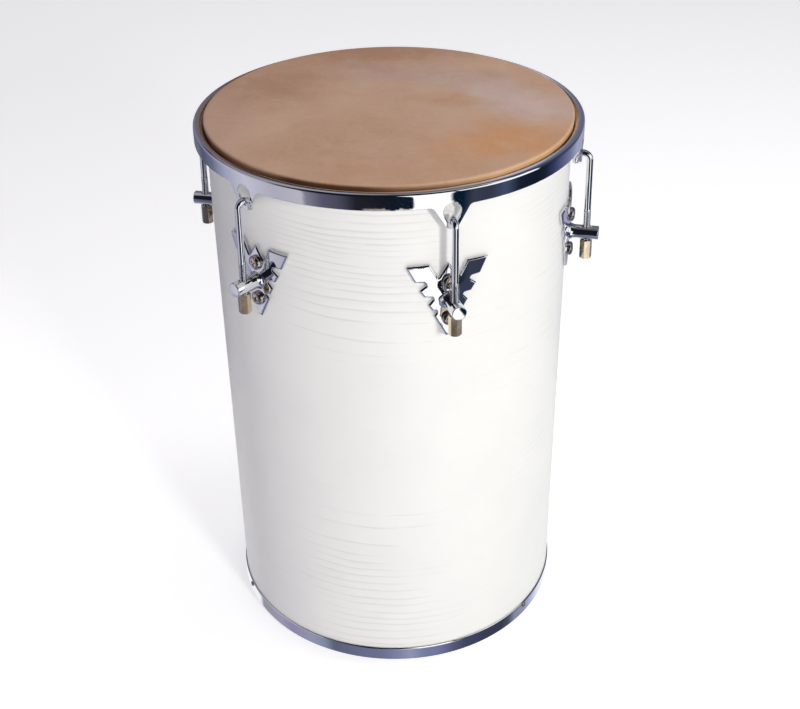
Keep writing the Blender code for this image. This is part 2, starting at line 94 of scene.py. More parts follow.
# ---------------------------------------------------------------- node helpers
class Nodes:
    """Short forms for building a node tree."""

    def __init__(self, name, world=False):
        self.owner = bpy.data.worlds.new(name) if world else bpy.data.materials.new(name)
        self.owner.use_nodes = True
        self.tree = self.owner.node_tree
        self.tree.nodes.clear()

    def new(self, kind, **settings):
        node = self.tree.nodes.new(kind)
        inputs = settings.pop("inputs", {})
        for key, value in settings.items():
            setattr(node, key, value)
        for key, value in inputs.items():
            self.set(node.inputs[key], value)
        return node

    def set(self, socket, value):
        if isinstance(value, bpy.types.NodeSocket):
            self.tree.links.new(value, socket)
        elif isinstance(value, (tuple, list)) and len(value) == 3 and socket.type == "RGBA":
            socket.default_value = (*value, 1.0)
        else:
            socket.default_value = value

    def math(self, operation, a, b=None, c=None, clamp=False):
        node = self.new("ShaderNodeMath", operation=operation, use_clamp=clamp)
        for n, value in enumerate((a, b, c)):
            if value is not None:
                self.set(node.inputs[n], value)
        return node.outputs[0]

    def add(self, a, b):
        return self.math("ADD", a, b)

    def mul(self, a, b):
        return self.math("MULTIPLY", a, b)

    def vmath(self, operation, a, b=None):
        node = self.new("ShaderNodeVectorMath", operation=operation)
        self.set(node.inputs[0], a)
        if b is not None:
            self.set(node.inputs[1], b)
        return node.outputs[0]

    def mix(self, factor, a, b, blend="MIX"):
        node = self.new("ShaderNodeMix", data_type="RGBA", blend_type=blend)
        self.set(node.inputs[0], factor)
        self.set(node.inputs[6], a)
        self.set(node.inputs[7], b)
        return node.outputs[2]

    def ramp(self, factor, stops, mode="LINEAR"):
        node = self.new("ShaderNodeValToRGB")
        node.color_ramp.interpolation = mode
        elements = node.color_ramp.elements
        while len(elements) > 1:
            elements.remove(elements[-1])
        for n, (place, colour) in enumerate(stops):
            element = elements[0] if n == 0 else elements.new(place)
            element.position = place
            if isinstance(colour, (int, float)):
                colour = (colour, colour, colour)
            element.color = (*colour, 1.0)
        self.set(node.inputs[0], factor)
        return node.outputs[0]

    def noise(self, vector, scale, detail=2.0, rough=0.5, distortion=0.0, colour=False):
        node = self.new("ShaderNodeTexNoise", inputs={
            "Vector": vector, "Scale": scale, "Detail": detail, "Roughness": rough, "Distortion": distortion})
        return node.outputs[1 if colour else 0]

    def map(self, value, low, high, to_low=0.0, to_high=1.0):
        node = self.new("ShaderNodeMapRange", inputs={
            "Value": value, "From Min": low, "From Max": high, "To Min": to_low, "To Max": to_high})
        node.clamp = True
        return node.outputs[0]

    def bump(self, height, strength, distance, normal=None):
        node = self.new("ShaderNodeBump", inputs={"Height": height, "Strength": strength, "Distance": distance})
        if normal is not None:
            self.set(node.inputs["Normal"], normal)
        return node.outputs[0]

    def shader(self, **values):
        node = self.new("ShaderNodeBsdfPrincipled")
        for key, value in values.items():
            self.set(node.inputs[key.replace("_", " ")], value)
        out = self.new("ShaderNodeOutputMaterial")
        self.tree.links.new(node.outputs[0], out.inputs[0])
        return node

    def position(self):
        """The point on the object, in metres."""
        return self.new("ShaderNodeTexCoord").outputs["Object"]

    def attribute(self, name):
        return self.new("ShaderNodeAttribute", attribute_name=name).outputs["Fac"]

    def split(self, vector):
        node = self.new("ShaderNodeSeparateXYZ", inputs={0: vector})
        return node.outputs[0], node.outputs[1], node.outputs[2]


# ---------------------------------------------------------------- materials
def chrome_material(name="chrome", tint=(0.83, 0.84, 0.87), soft=0.015):
    n = Nodes(name)
    point = n.position()
    cloud = n.noise(point, 60.0, 4.0, 0.6)
    streak = n.noise(n.vmath("MULTIPLY", point, (1.0, 1.0, 8.0)), 240.0, 3.0, 0.6)
    spots = n.noise(point, 1400.0, 2.0, 0.6)
    rough = n.add(n.map(cloud, 0.35, 0.75, soft, soft + 0.035), n.map(spots, 0.62, 0.74, 0.0, 0.05))
    colour = n.mix(n.map(streak, 0.45, 0.8, 0.0, 0.35), tint, tuple(c * 0.84 for c in tint))
    wave = n.bump(n.add(n.mul(cloud, 0.9), n.mul(streak, 0.1)), 0.035, 0.0012)
    n.shader(Base_Color=colour, Metallic=1.0, Roughness=rough, Normal=wave)
    return n.owner


def brass_material():
    n = Nodes("brass")
    point = n.position()
    turned = n.noise(n.vmath("MULTIPLY", point, (500.0, 500.0, 60.0)), 1.0, 3.0, 0.6)
    stain = n.noise(n.vmath("MULTIPLY", point, (1.0, 1.0, 0.4)), 230.0, 3.0, 0.5)
    colour = n.mix(n.map(stain, 0.35, 0.7), (0.84, 0.72, 0.55), (0.62, 0.49, 0.345))
    rough = n.map(stain, 0.3, 0.75, 0.16, 0.28)
    n.shader(Base_Color=colour, Metallic=1.0, Roughness=rough, Normal=n.bump(turned, 0.05, 0.0002))
    return n.owner


def steel_material(name="zinc_plated_steel", light=(0.66, 0.60, 0.55), dark=(0.34, 0.29, 0.265), soft=0.07):
    n = Nodes(name)
    point = n.position()
    stain = n.noise(point, 150.0, 3.0, 0.55)
    fine = n.noise(point, 1200.0, 2.0, 0.5)
    colour = n.mix(n.map(stain, 0.38, 0.72), light, dark)
    rough = n.map(stain, 0.3, 0.7, soft, soft + 0.08)
    n.shader(Base_Color=colour, Metallic=1.0, Roughness=rough, Normal=n.bump(fine, 0.04, 0.0001))
    return n.owner


def hide_material():
    n = Nodes("hide")
    point = n.position()
    x, y, z = n.split(point)
    flat = n.vmath("MULTIPLY", point, (1.0, 1.0, 0.3))
    bend = n.noise(flat, 26.0, 4.0, 0.62, 0.0, colour=True)
    bend = n.vmath("MULTIPLY", n.vmath("SUBTRACT", bend, (0.5, 0.5, 0.5)), (0.075, 0.06, 0.0))
    bent = n.vmath("ADD", flat, bend)
    bx, by, _ = n.split(bent)

    def blob(cx, cy, rx, ry, turn, soft=0.75):
        """1 in the middle of an ellipse, falling to 0 at its edge."""
        c, s = math.cos(math.radians(turn)), math.sin(math.radians(turn))
        dx, dy = n.add(bx, -cx), n.add(by, -cy)
        along = n.mul(n.add(n.mul(dx, c), n.mul(dy, s)), 1.0 / rx)
        across = n.mul(n.add(n.mul(dx, -s), n.mul(dy, c)), 1.0 / ry)
        far = n.math("SQRT", n.add(n.mul(along, along), n.mul(across, across)))
        return n.map(far, 1.0, 1.0 - soft)

    large = n.noise(bent, 8.0, 5.0, 0.62, 0.3)
    middle = n.noise(flat, 46.0, 5.0, 0.66, 0.5)
    fibre = n.noise(n.vmath("MULTIPLY", bent, (1.0, 2.6, 1.0)), 190.0, 4.0, 0.7, 0.6)
    pores = n.noise(flat, 1500.0, 3.0, 0.7)

    colour = n.ramp(large, [
        (0.28, (0.49, 0.300, 0.190)), (0.44, (0.54, 0.350, 0.235)),
        (0.56, (0.56, 0.372, 0.253)), (0.74, (0.58, 0.400, 0.280))])
    for centre, size, turn, share, shade in (
            ((-0.009, 0.140), (0.150, 0.055), 3, 0.85, (0.380, 0.210, 0.130)),
            ((-0.113, 0.058), (0.080, 0.070), 30, 0.75, (0.405, 0.230, 0.150)),
            ((0.014, -0.132), (0.120, 0.040), 2, 0.70, (0.530, 0.310, 0.180)),
            ((-0.140, -0.015), (0.035, 0.075), 8, 0.50, (0.470, 0.305, 0.235)),
            ((0.018, 0.080), (0.100, 0.034), -3, 0.80, (0.490, 0.338, 0.275)),
            ((0.085, 0.045), (0.070, 0.034), -32, 0.80, (0.520, 0.385, 0.320)),
            ((0.116, 0.002), (0.080, 0.042), -38, 0.95, (0.585, 0.455, 0.390)),
            ((0.145, 0.040), (0.024, 0.036), 0, 0.60, (0.550, 0.325, 0.220)),
            ((0.044, 0.018), (0.042, 0.020), -4, 0.80, (0.500, 0.295, 0.175)),
            ((0.092, -0.070), (0.085, 0.046), 14, 0.90, (0.600, 0.310, 0.140)),
            ((-0.020, 0.100), (0.030, 0.014), -8, 0.55, (0.430, 0.285, 0.225))):
        colour = n.mix(n.mul(blob(*centre, *size, turn), share), colour, shade)
    colour = n.mix(n.map(middle, 0.50, 0.74, 0.0, 0.24), colour, (0.66, 0.50, 0.385))
    colour = n.mix(n.map(middle, 0.46, 0.26, 0.0, 0.24), colour, (0.38, 0.20, 0.11))
    colour = n.mix(n.map(fibre, 0.52, 0.78, 0.0, 0.26), colour, (0.34, 0.19, 0.11))
    colour = n.mix(n.map(fibre, 0.46, 0.24, 0.0, 0.18), colour, (0.68, 0.52, 0.39))
    # painted shade: the collar below the face darkens to a deep brown
    colour = n.mix(n.mul(n.map(z, 0.4806, 0.4776), 0.85), colour, (0.235, 0.120, 0.045))
    # the turned edge: painted shade darkens it at the front, and a painted highlight makes it paler to either side of
    # that
    front = n.mul(n.mul(n.map(x, 0.016, -0.020), n.map(x, -0.101, -0.075)), n.map(y, -0.10, -0.13))
    colour = n.mix(n.mul(n.mul(front, n.map(z, 0.4816, 0.4798)), 0.90), colour, (0.100, 0.042, 0.016))
    # painted highlight on the turned edge at the left, a paler brown
    beside = n.mul(n.map(x, -0.095, -0.112), n.map(y, -0.03, -0.07))
    colour = n.mix(n.mul(n.mul(beside, n.map(z, 0.4814, 0.4798)), 0.70), colour, (0.520, 0.290, 0.140))
    # painted highlight on the turned edge at the right, a bright orange
    beside = n.mul(n.map(x, 0.030, 0.085), n.map(y, 0.030, -0.030))
    colour = n.mix(n.mul(n.mul(beside, n.map(z, 0.4815, 0.4806)), 0.75), colour, (0.860, 0.540, 0.290))
    # painted shade in the gap between the collar and the flange: the low collar goes near black
    colour = n.mix(n.mul(n.map(z, 0.4775, 0.4715), 0.85), colour, (0.075, 0.026, 0.018))
    height = n.add(n.mul(middle, 0.5), n.add(n.mul(fibre, 0.35), n.mul(pores, 0.15)))
    rough = n.add(n.map(middle, 0.3, 0.7, 0.50, 0.62), n.map(fibre, 0.3, 0.7, -0.04, 0.05))
    n.shader(Base_Color=colour, Roughness=rough, Normal=n.bump(height, 0.35, 0.0007),
             Subsurface_Weight=0.06, Subsurface_Radius=(0.004, 0.002, 0.001), Subsurface_Scale=1.0)
    return n.owner


def laminate_material():
    """White laminate with an embossed wood grain. The mesh carries the lines: relief says
    where they are, and grain_z is the height that the hair-fine grain follows."""
    n = Nodes("white_laminate")
    point = n.position()
    x, y, _ = n.split(point)
    relief, grain = n.attribute("relief"), n.attribute("grain_z")
    along = n.new("ShaderNodeCombineXYZ", inputs={0: x, 1: y, 2: n.mul(grain, 22.0)}).outputs[0]
    hair = n.noise(along, 60.0, 4.0, 0.62, 0.15)
    fine = n.noise(n.vmath("MULTIPLY", along, (1.0, 1.0, 0.6)), 280.0, 3.0, 0.6)
    cloud = n.noise(point, 14.0, 3.0, 0.55)
    broad = n.noise(n.vmath("MULTIPLY", along, (1.0, 1.0, 0.16)), 26.0, 2.0, 0.5)
    strip = n.new("ShaderNodeCombineXYZ", inputs={0: x, 1: y, 2: n.mul(grain, 15.0)}).outputs[0]
    strip = n.mul(n.noise(strip, 17.0, 2.0, 0.5, 0.3), n.map(n.noise(point, 9.0, 1.0), 0.38, 0.62, 0.25, 1.0))
    base = n.mix(n.map(cloud, 0.35, 0.7), (0.875, 0.874, 0.835), (0.845, 0.847, 0.815))
    # painted shade: the embossed grooves are greyed in the colour where relief is low
    groove = n.map(relief, 0.8, 0.0, 0.0, 0.40)
    colour = n.mix(groove, base, (0.64, 0.64, 0.605))
    colour = n.mix(n.map(hair, 0.55, 0.80, 0.0, 0.12), colour, (0.68, 0.68, 0.67))
    height = n.add(n.add(n.mul(hair, 0.25), n.mul(fine, 0.1)), n.add(n.mul(broad, 0.4), strip))
    rough = n.add(n.map(hair, 0.3, 0.7, 0.34, 0.44), n.mul(groove, 0.1))
    n.shader(Base_Color=colour, Roughness=rough, Normal=n.bump(height, 0.5, 0.0006),
             Coat_Weight=0.12, Coat_Roughness=0.22)
    return n.owner


def wood_material():
    n = Nodes("bare_wood")
    point = n.position()
    grain = n.noise(n.vmath("MULTIPLY", point, (1.0, 1.0, 14.0)), 22.0, 5.0, 0.6, 0.6)
    pores = n.noise(n.vmath("MULTIPLY", point, (1.0, 1.0, 30.0)), 160.0, 3.0, 0.65)
    x, y, z = n.split(point)
    radius = n.math("SQRT", n.add(n.mul(x, x), n.mul(y, y)))
    ply = n.math("SINE", n.mul(radius, 2 * math.pi / 0.0012))
    colour = n.ramp(grain, [(0.3, (0.33, 0.19, 0.095)), (0.52, (0.50, 0.32, 0.175)), (0.72, (0.60, 0.42, 0.25))])
    colour = n.mix(n.map(pores, 0.55, 0.8, 0.0, 0.6), colour, (0.24, 0.13, 0.06))
    colour = n.mix(n.map(ply, 0.2, 1.0, 0.0, 0.2), colour, (0.36, 0.21, 0.11))
    n.shader(Base_Color=colour, Roughness=n.map(grain, 0.3, 0.7, 0.55, 0.7),
             Normal=n.bump(n.add(grain, pores), 0.3, 0.0005))
    return n.owner


CHROME = chrome_material()
CHROME_SOFT = chrome_material("chrome_plate", soft=0.03)
BRASS = brass_material()
STEEL = steel_material()
INNER_STEEL = steel_material("inner_steel", (0.60, 0.59, 0.58), (0.34, 0.33, 0.33), 0.28)
HIDE = hide_material()
LAMINATE = laminate_material()
WOOD = wood_material()

LOOKS = {"chrome": CHROME, "brass": BRASS, "steel": STEEL, "hide": HIDE, "laminate": LAMINATE,
         "wood": WOOD, "flesh_wire": INNER_STEEL}
for part in frame["record"]["subparts"]:
    node = frame["nodes"][part["node"]]
    node.data.materials.clear()
    node.data.materials.append(LOOKS[part["material_slot"]])


# ---------------------------------------------------------------- mesh helpers
def arc(centre, radius, start, end, steps):
    return [
        (centre[0] + radius * math.cos(a), centre[1] + radius * math.sin(a))
        for a in np.radians(np.linspace(start, end, steps + 1))
    ]


def rounded(points, radii, steps=6, closed=True):
    """An outline with its corners rounded. radii is one number, or one for each point."""
    if isinstance(radii, (int, float)):
        radii = [radii] * len(points)
    out = []
    count = len(points)
    for n, (point, radius) in enumerate(zip(points, radii)):
        ends = not closed and n in (0, count - 1)
        p = Vector(point)
        if ends or radius <= 0:
            out.append(p)
            continue
        before, after = Vector(points[n - 1]) - p, Vector(points[(n + 1) % count]) - p
        one, two = before.normalized(), after.normalized()
        half = one.angle(two) / 2
        if half > math.radians(89):
            out.append(p)
            continue
        reach = min(radius / math.tan(half), 0.499 * before.length, 0.499 * after.length)
        if not closed and n in (1, count - 2):
            reach = min(radius / math.tan(half), (before if n == 1 else after).length,
                        0.999 * (after if n == 1 else before).length)
        size = reach * math.tan(half)
        middle = p + (one + two).normalized() * (size / math.sin(half))
        a, b = p + one * reach, p + two * reach
        start = math.atan2(a.y - middle.y, a.x - middle.x)
        sweep = math.atan2(b.y - middle.y, b.x - middle.x) - start
        sweep = (sweep + math.pi) % (2 * math.pi) - math.pi
        bits = max(2, math.ceil(steps * abs(sweep) / (math.pi / 2)))
        for k in range(bits + 1):
            t = start + sweep * k / bits
            out.append(middle + Vector((math.cos(t), math.sin(t))) * size)
    clean = []
    for p in out:
        if not clean or (p - clean[-1]).length > 1e-6:
            clean.append(p)
    if closed and (clean[0] - clean[-1]).length < 1e-6:
        clean.pop()
    return [(p.x, p.y) for p in clean]


def revolve(bm, profile, steps, closed=True, along_x=False):
    """Sweeps (radius, height) points round +Z, or round +X with heights along it."""
    rings = []
    for r, h in profile:
        count = 1 if r < 1e-7 else steps
        ring = []
        for n in range(count):
            a = 2 * math.pi * n / steps
            c, s = r * math.cos(a), r * math.sin(a)
            ring.append(bm.verts.new((h, c, s) if along_x else (c, s, h)))
        rings.append(ring)
    pairs = list(zip(rings, rings[1:])) + ([(rings[-1], rings[0])] if closed else [])
    for one, two in pairs:
        if len(one) == len(two) == 1:
            continue
        for n in range(steps):
            m = (n + 1) % steps
            corners = [one[n % len(one)], one[m % len(one)], two[m % len(two)], two[n % len(two)]]
            corners = list(dict.fromkeys(corners))
            bm.faces.new(corners)


def inside(point, loop):
    x, y = point
    crossed = False
    for (x0, y0), (x1, y1) in zip(loop, loop[1:] + loop[:1]):
        if (y0 > y) != (y1 > y) and x < x0 + (y - y0) * (x1 - x0) / (y1 - y0):
            crossed = not crossed
    return crossed


def shifted(loop, distance, closed=True):
    """Every point of an outline moved to its left by a distance."""
    out = []
    count = len(loop)
    for n in range(count):
        p = Vector(loop[n])
        before = p - Vector(loop[n - 1]) if (closed or n) else None
        after = Vector(loop[(n + 1) % count]) - p if (closed or n < count - 1) else None
        if before is None or after is None:
            side = Vector((0.0, 1.0))            # the ends of a band's edge move straight up
            out.append(tuple(p + side * distance))
            continue
        a, b = before.normalized(), after.normalized()
        na, nb = Vector((-a.y, a.x)), Vector((-b.y, b.x))
        side = (na + nb).normalized()
        out.append(tuple(p + side * (distance / max(side.dot(na), 0.35))))
    return out


def filled(outline, holes, spacing):
    """Triangles of a flat region, with evenly spread points inside it."""
    loops = [outline] + holes
    points, edges = [], []
    for loop in loops:
        start = len(points)
        points += [Vector(p) for p in loop]
        edges += [(start + n, start + (n + 1) % len(loop)) for n in range(len(loop))]
    rim = np.array([tuple(p) for p in points])
    low, high = rim.min(axis=0), rim.max(axis=0)
    row = 0
    v = low[1] + spacing * 0.5
    while v < high[1]:
        u = low[0] + spacing * (0.25 if row % 2 else 0.75)
        while u < high[0]:
            if (inside((u, v), outline) and not any(inside((u, v), h) for h in holes)
                    and np.hypot(rim[:, 0] - u, rim[:, 1] - v).min() > spacing * 0.55):
                points.append(Vector((u, v)))
            u += spacing
        v += spacing * 0.87
        row += 1
    found = delaunay_2d_cdt(points, edges, [], 0, 1e-9)
    points, faces = found[0], found[2]
    kept = []
    for face in faces:
        middle = sum((points[i] for i in face), Vector((0.0, 0.0))) / len(face)
        if inside(middle, outline) and not any(inside(middle, hole) for hole in holes):
            kept.append(face)
    return points, kept


def plate(bm, place, edge, holes, r_in, r_out, bevel, spacing, closing=(), steps=4):
    """A wall that follows a cylinder, with rounded outer edges. place(u, z, radius)
    gives a point, edge is the outline or a band's lower edge, run anticlockwise, and
    closing the rest of the outline where the wall goes on into another piece."""
    closed = not closing
    rows = [(bevel * (1 - math.cos(t)), bevel * (1 - math.sin(t)))
            for t in np.linspace(0, math.pi / 2, steps + 1)]
    small = bevel * 0.5
    low_rows = [(small * (1 - math.cos(t)), small * (1 - math.sin(t)))
                for t in np.linspace(0, math.pi / 2, 3)]
    for sign, base, levels in ((1, r_out, rows), (-1, r_in, low_rows)):
        inset = levels[-1][0]
        rim = shifted(edge, inset, closed) + list(closing)
        cut = [shifted(h, inset) for h in holes]
        points, faces = filled(rim, cut, spacing)
        made = {}
        for face in faces:
            for i in face:
                if i not in made:
                    made[i] = bm.verts.new(place(points[i].x, points[i].y, base))
            corners = [made[i] for i in face]
            bm.faces.new(corners if sign > 0 else list(reversed(corners)))
        for loop, is_closed in [(edge, closed)] + [(h, True) for h in holes]:
            loops = [
                [bm.verts.new(place(u, z, base - sign * depth)) for u, z in shifted(loop, off, is_closed)]
                for off, depth in levels
            ]
            for one, two in zip(loops, loops[1:]):
                for n in range(len(one) - (0 if is_closed else 1)):
                    m = (n + 1) % len(one)
                    bm.faces.new([one[n], one[m], two[m], two[n]])
    for loop, is_closed in [(edge, closed)] + [(h, True) for h in holes]:
        top = [bm.verts.new(place(u, z, r_out - bevel)) for u, z in loop]
        low = [bm.verts.new(place(u, z, r_in + small)) for u, z in loop]
        for n in range(len(top) - (0 if is_closed else 1)):
            m = (n + 1) % len(top)
            bm.faces.new([top[n], low[n], low[m], top[m]])


def tube(bm, path, sides, thread=None):
    """A round bar along (x, z, radius) points in the XZ plane. thread is (low, high,
    pitch, depth): between those heights the bar carries a screw thread."""
    rings = []
    for n, (x, z, radius) in enumerate(path):
        before = Vector(path[max(n - 1, 0)][:2])
        after = Vector(path[min(n + 1, len(path) - 1)][:2])
        run = (after - before).normalized()
        across = Vector((-run.y, 0.0, run.x))
        ring = []
        for k in range(sides):
            a = 2 * math.pi * k / sides
            r = radius
            if thread and thread[0] <= z <= thread[1]:
                low, high, pitch, depth = thread
                t = ((z - low) / pitch + k / sides) % 1.0
                cut = max(0.0, 1.0 - abs(t - 0.5) / 0.42)
                ease = min(1.0, (z - low) / pitch, (high - z) / (1.5 * pitch))
                r -= depth * cut * max(ease, 0.0)
            ring.append(bm.verts.new(Vector((x, 0.0, z)) + across * (r * math.cos(a))
                                     + Vector((0.0, r * math.sin(a), 0.0))))
        rings.append(ring)
    for one, two in zip(rings, rings[1:]):
        for n in range(sides):
            m = (n + 1) % sides
            bm.faces.new([one[n], one[m], two[m], two[n]])
    bm.faces.new(rings[0])
    bm.faces.new(rings[-1])


def finish(bm, name, mat, sharp=32.0, merge=2e-6):
    bmesh.ops.remove_doubles(bm, verts=bm.verts, dist=merge)
    bmesh.ops.dissolve_degenerate(bm, edges=bm.edges, dist=1e-7)
    bmesh.ops.recalc_face_normals(bm, faces=bm.faces)
    mesh = bpy.data.meshes.new(name)
    bm.to_mesh(mesh)
    bm.free()
    mesh.materials.append(mat)
    mesh.shade_smooth()
    mesh.set_sharp_from_angle(angle=math.radians(sharp))
    return mesh


def show(name, mesh, turn=0.0, fixed=False):
    """Links a mesh. fixed turns the mesh and not its object, for the large rings."""
    obj = bpy.data.objects.new(name, mesh)
    bpy.context.scene.collection.objects.link(obj)
    if fixed:
        mesh.transform(Matrix.Rotation(math.radians(turn), 4, "Z"))
    else:
        obj.matrix_world = Matrix.Rotation(math.radians(turn), 4, "Z")
    return obj


def even_normals(obj):
    mod = obj.modifiers.new("even_normals", "WEIGHTED_NORMAL")
    mod.mode = "FACE_AREA_WITH_ANGLE"
    mod.weight = 60
    mod.keep_sharp = True


def cut(mesh, name, mat, tools, operation="DIFFERENCE", sharp=32.0):
    """The mesh less its tools, as a new mesh."""
    obj = bpy.data.objects.new(name, mesh)
    bpy.context.scene.collection.objects.link(obj)
    helpers = [obj]
    for n, tool in enumerate(tools):
        other = bpy.data.objects.new(f"{name}_tool_{n}", tool)
        bpy.context.scene.collection.objects.link(other)
        helpers.append(other)
        mod = obj.modifiers.new(f"cut_{n}", "BOOLEAN")
        mod.operation = operation
        mod.object = other
        mod.solver = "EXACT"
    bpy.context.view_layer.update()
    graph = bpy.context.evaluated_depsgraph_get()
    out = bpy.data.meshes.new_from_object(obj.evaluated_get(graph))
    for helper in helpers:
        bpy.data.objects.remove(helper, do_unlink=True)
    bm = bmesh.new()
    bm.from_mesh(out)
    bpy.data.meshes.remove(out)
    bmesh.ops.remove_doubles(bm, verts=bm.verts, dist=1e-6)
    return finish(bm, name, mat, sharp)


def smooth_wave(seed, count, most, z_scale):
    """A smooth random function of azimuth (radians) and height that repeats once round."""
    rng = np.random.default_rng(seed)
    turns = rng.integers(0, most + 1, count)
    rise = rng.normal(0.0, 1.0, count) / z_scale
    phase = rng.uniform(0, 2 * math.pi, count)
    size = rng.normal(0.0, 1.0, count) / np.sqrt(count / 2.0)

    def value(azimuth, z):
        total = 0.0
        for t, r, p, s in zip(turns, rise, phase, size):
            total = total + s * np.cos(t * azimuth + 2 * math.pi * r * z + p)
        return total

    return value


# ---------------------------------------------------------------- tension hoop
R_OUT, R_IN = 162.2 * MM, 160.4 * MM
HOOP_Z0, HOOP_Z1, HOOP_T, CORNER = 465.2 * MM, 478.5 * MM, 1.8 * MM, 2.4 * MM
FLANGE_R = 156.6 * MM
BAND_TOP = HOOP_Z1 - CORNER


def ear_half():
    root = Vector((13.2 * MM, 462.3 * MM))
    tip, size = Vector((0.0, 454.0 * MM)), 7.2 * MM
    away = root - tip
    touch = math.degrees(math.atan2(away.y, away.x) - math.acos(size / away.length))
    half = [(18.4 * MM, HOOP_Z0), (14.0 * MM, HOOP_Z0 - 0.2 * MM), (12.7 * MM, 461.5 * MM)]
    half = rounded([half[0], (15.0 * MM, HOOP_Z0), arc(tip, size, touch, touch, 0)[0]],
                   [0, 4.0 * MM, 0], 7, closed=False)
    half += arc(tip, size, touch, -90, 16)[1:]
    return half


def build_hoop():
    degree = R_OUT * math.radians(1.0)
    half = ear_half()
    ear = [(-u, z) for u, z in half] + list(reversed(half[:-1]))
    lower = [(n * degree, HOOP_Z0) for n in range(-30, -6)] + ear + [(n * degree, HOOP_Z0) for n in range(7, 31)]
    closing = [(n * degree, BAND_TOP) for n in range(30, -31, -1)]
    (z1, r1), (z0, r0) = (461.0 * MM, 7.0 * MM), (454.0 * MM, 3.25 * MM)
    lean = math.degrees(math.asin((r1 - r0) / (z1 - z0)))
    hole = arc((0.0, z1), r1, -lean, 180 + lean, 30) + arc((0.0, z0), r0, 180 + lean, 360 - lean, 14)
    hole = list(reversed(hole))
    bm = bmesh.new()
    profile = rounded(
        [(R_OUT, BAND_TOP), (R_OUT, HOOP_Z1), (FLANGE_R, HOOP_Z1), (FLANGE_R, HOOP_Z1 - HOOP_T),
         (R_IN, HOOP_Z1 - HOOP_T), (R_IN, BAND_TOP)],
        [0, CORNER, 0.75 * MM, 0.4 * MM, 0.5 * MM, 0], 7, closed=False)
    revolve(bm, profile, 360, closed=False)
    for k in range(LUGS):
        def place(u, z, radius, k=k):
            a = u / R_OUT + math.radians(60.0 * k)
            return (radius * math.cos(a), radius * math.sin(a), z)
        plate(bm, place, lower, [hole], R_IN, R_OUT, 0.42 * MM, 2.6 * MM, closing)
    mesh = finish(bm, "tension_hoop_fine", CHROME, 40.0, merge=4e-6)
    obj = show("tension_hoop_fine", mesh, DRUM_TURN, fixed=True)
    even_normals(obj)
    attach(obj, "hoop_body")
    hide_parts("tension_hoop")


# ---------------------------------------------------------------- lug plate
PLATE_HALF = (
    (0.0, 414.5, 0.5), (8.4, 401.8, 0.9), (15.2, 414.4, 0.5), (33.8, 414.0, 0.6), (26.8, 400.0, 0.6),
    (15.2, 399.0, 1.9), (23.4, 392.8, 0.6), (19.2, 386.4, 0.6), (11.2, 385.7, 1.5), (16.4, 379.6, 0.6),
    (13.0, 373.8, 0.6), (9.0, 373.4, 1.1), (11.8, 369.2, 0.5), (1.6, 350.0, 0.8),
)
SEAT_R = 155.4 * MM


def corner_loop(points, radii, inset, steps=7, spacing=1.4 * MM):
    """A polygon (anticlockwise) shrunk by inset, with rounded corners and evenly cut
    sides. Every inset gives the same number of points, in the same order."""
    count = len(points)
    points = [Vector(p) for p in points]
    lines = []
    for one, two in zip(points, points[1:] + points[:1]):
        run = (two - one).normalized()
        lines.append((one + Vector((-run.y, run.x)) * inset, run, (two - one).length))
    corners = []
    for n in range(count):
        (p, d, _), (q, e, _) = lines[n - 1], lines[n]
        turn = math.atan2(d.cross(e), d.dot(e))
        along = (q - p).cross(e) / d.cross(e)
        tip = p + d * along
        radius = max(radii[n] - inset, 0.03 * MM) if turn > 0 else radii[n] + inset
        reach = radius * math.tan(abs(turn) / 2)
        side = 1.0 if turn > 0 else -1.0
        middle = tip - d * reach + Vector((-d.y, d.x)) * (side * radius)
        first = tip - d * reach - middle
        start = math.atan2(first.y, first.x)
        bits = max(3, math.ceil(steps * abs(turn) / (math.pi / 2)))
        corners.append([middle + Vector((math.cos(start + turn * k / bits), math.sin(start + turn * k / bits))) * radius
                        for k in range(bits + 1)])
    out = []
    for n in range(count):
        out += corners[n]
        one, two = corners[n][-1], corners[(n + 1) % count][0]
        bits = max(1, round(lines[n][2] / spacing / 1.6))
        out += [one.lerp(two, k / bits) for k in range(1, bits)]
    return [(v.x, v.y) for v in out]


def swell(u, z):
    """How far the plate's face rises towards the root of its post, and along each wing."""
    middle = math.exp(-((u / (8.5 * MM)) ** 2 + ((z - 384.0 * MM) / (15.0 * MM)) ** 2))
    x, y = abs(u), z - 385.0 * MM
    along, off = 0.743 * x + 0.669 * y, 0.669 * x - 0.743 * y
    ridge = math.exp(-((off / (3.4 * MM)) ** 2) - (along / (13.0 * MM)) ** 2)
    return (0.65 * middle + 0.55 * ridge) * MM


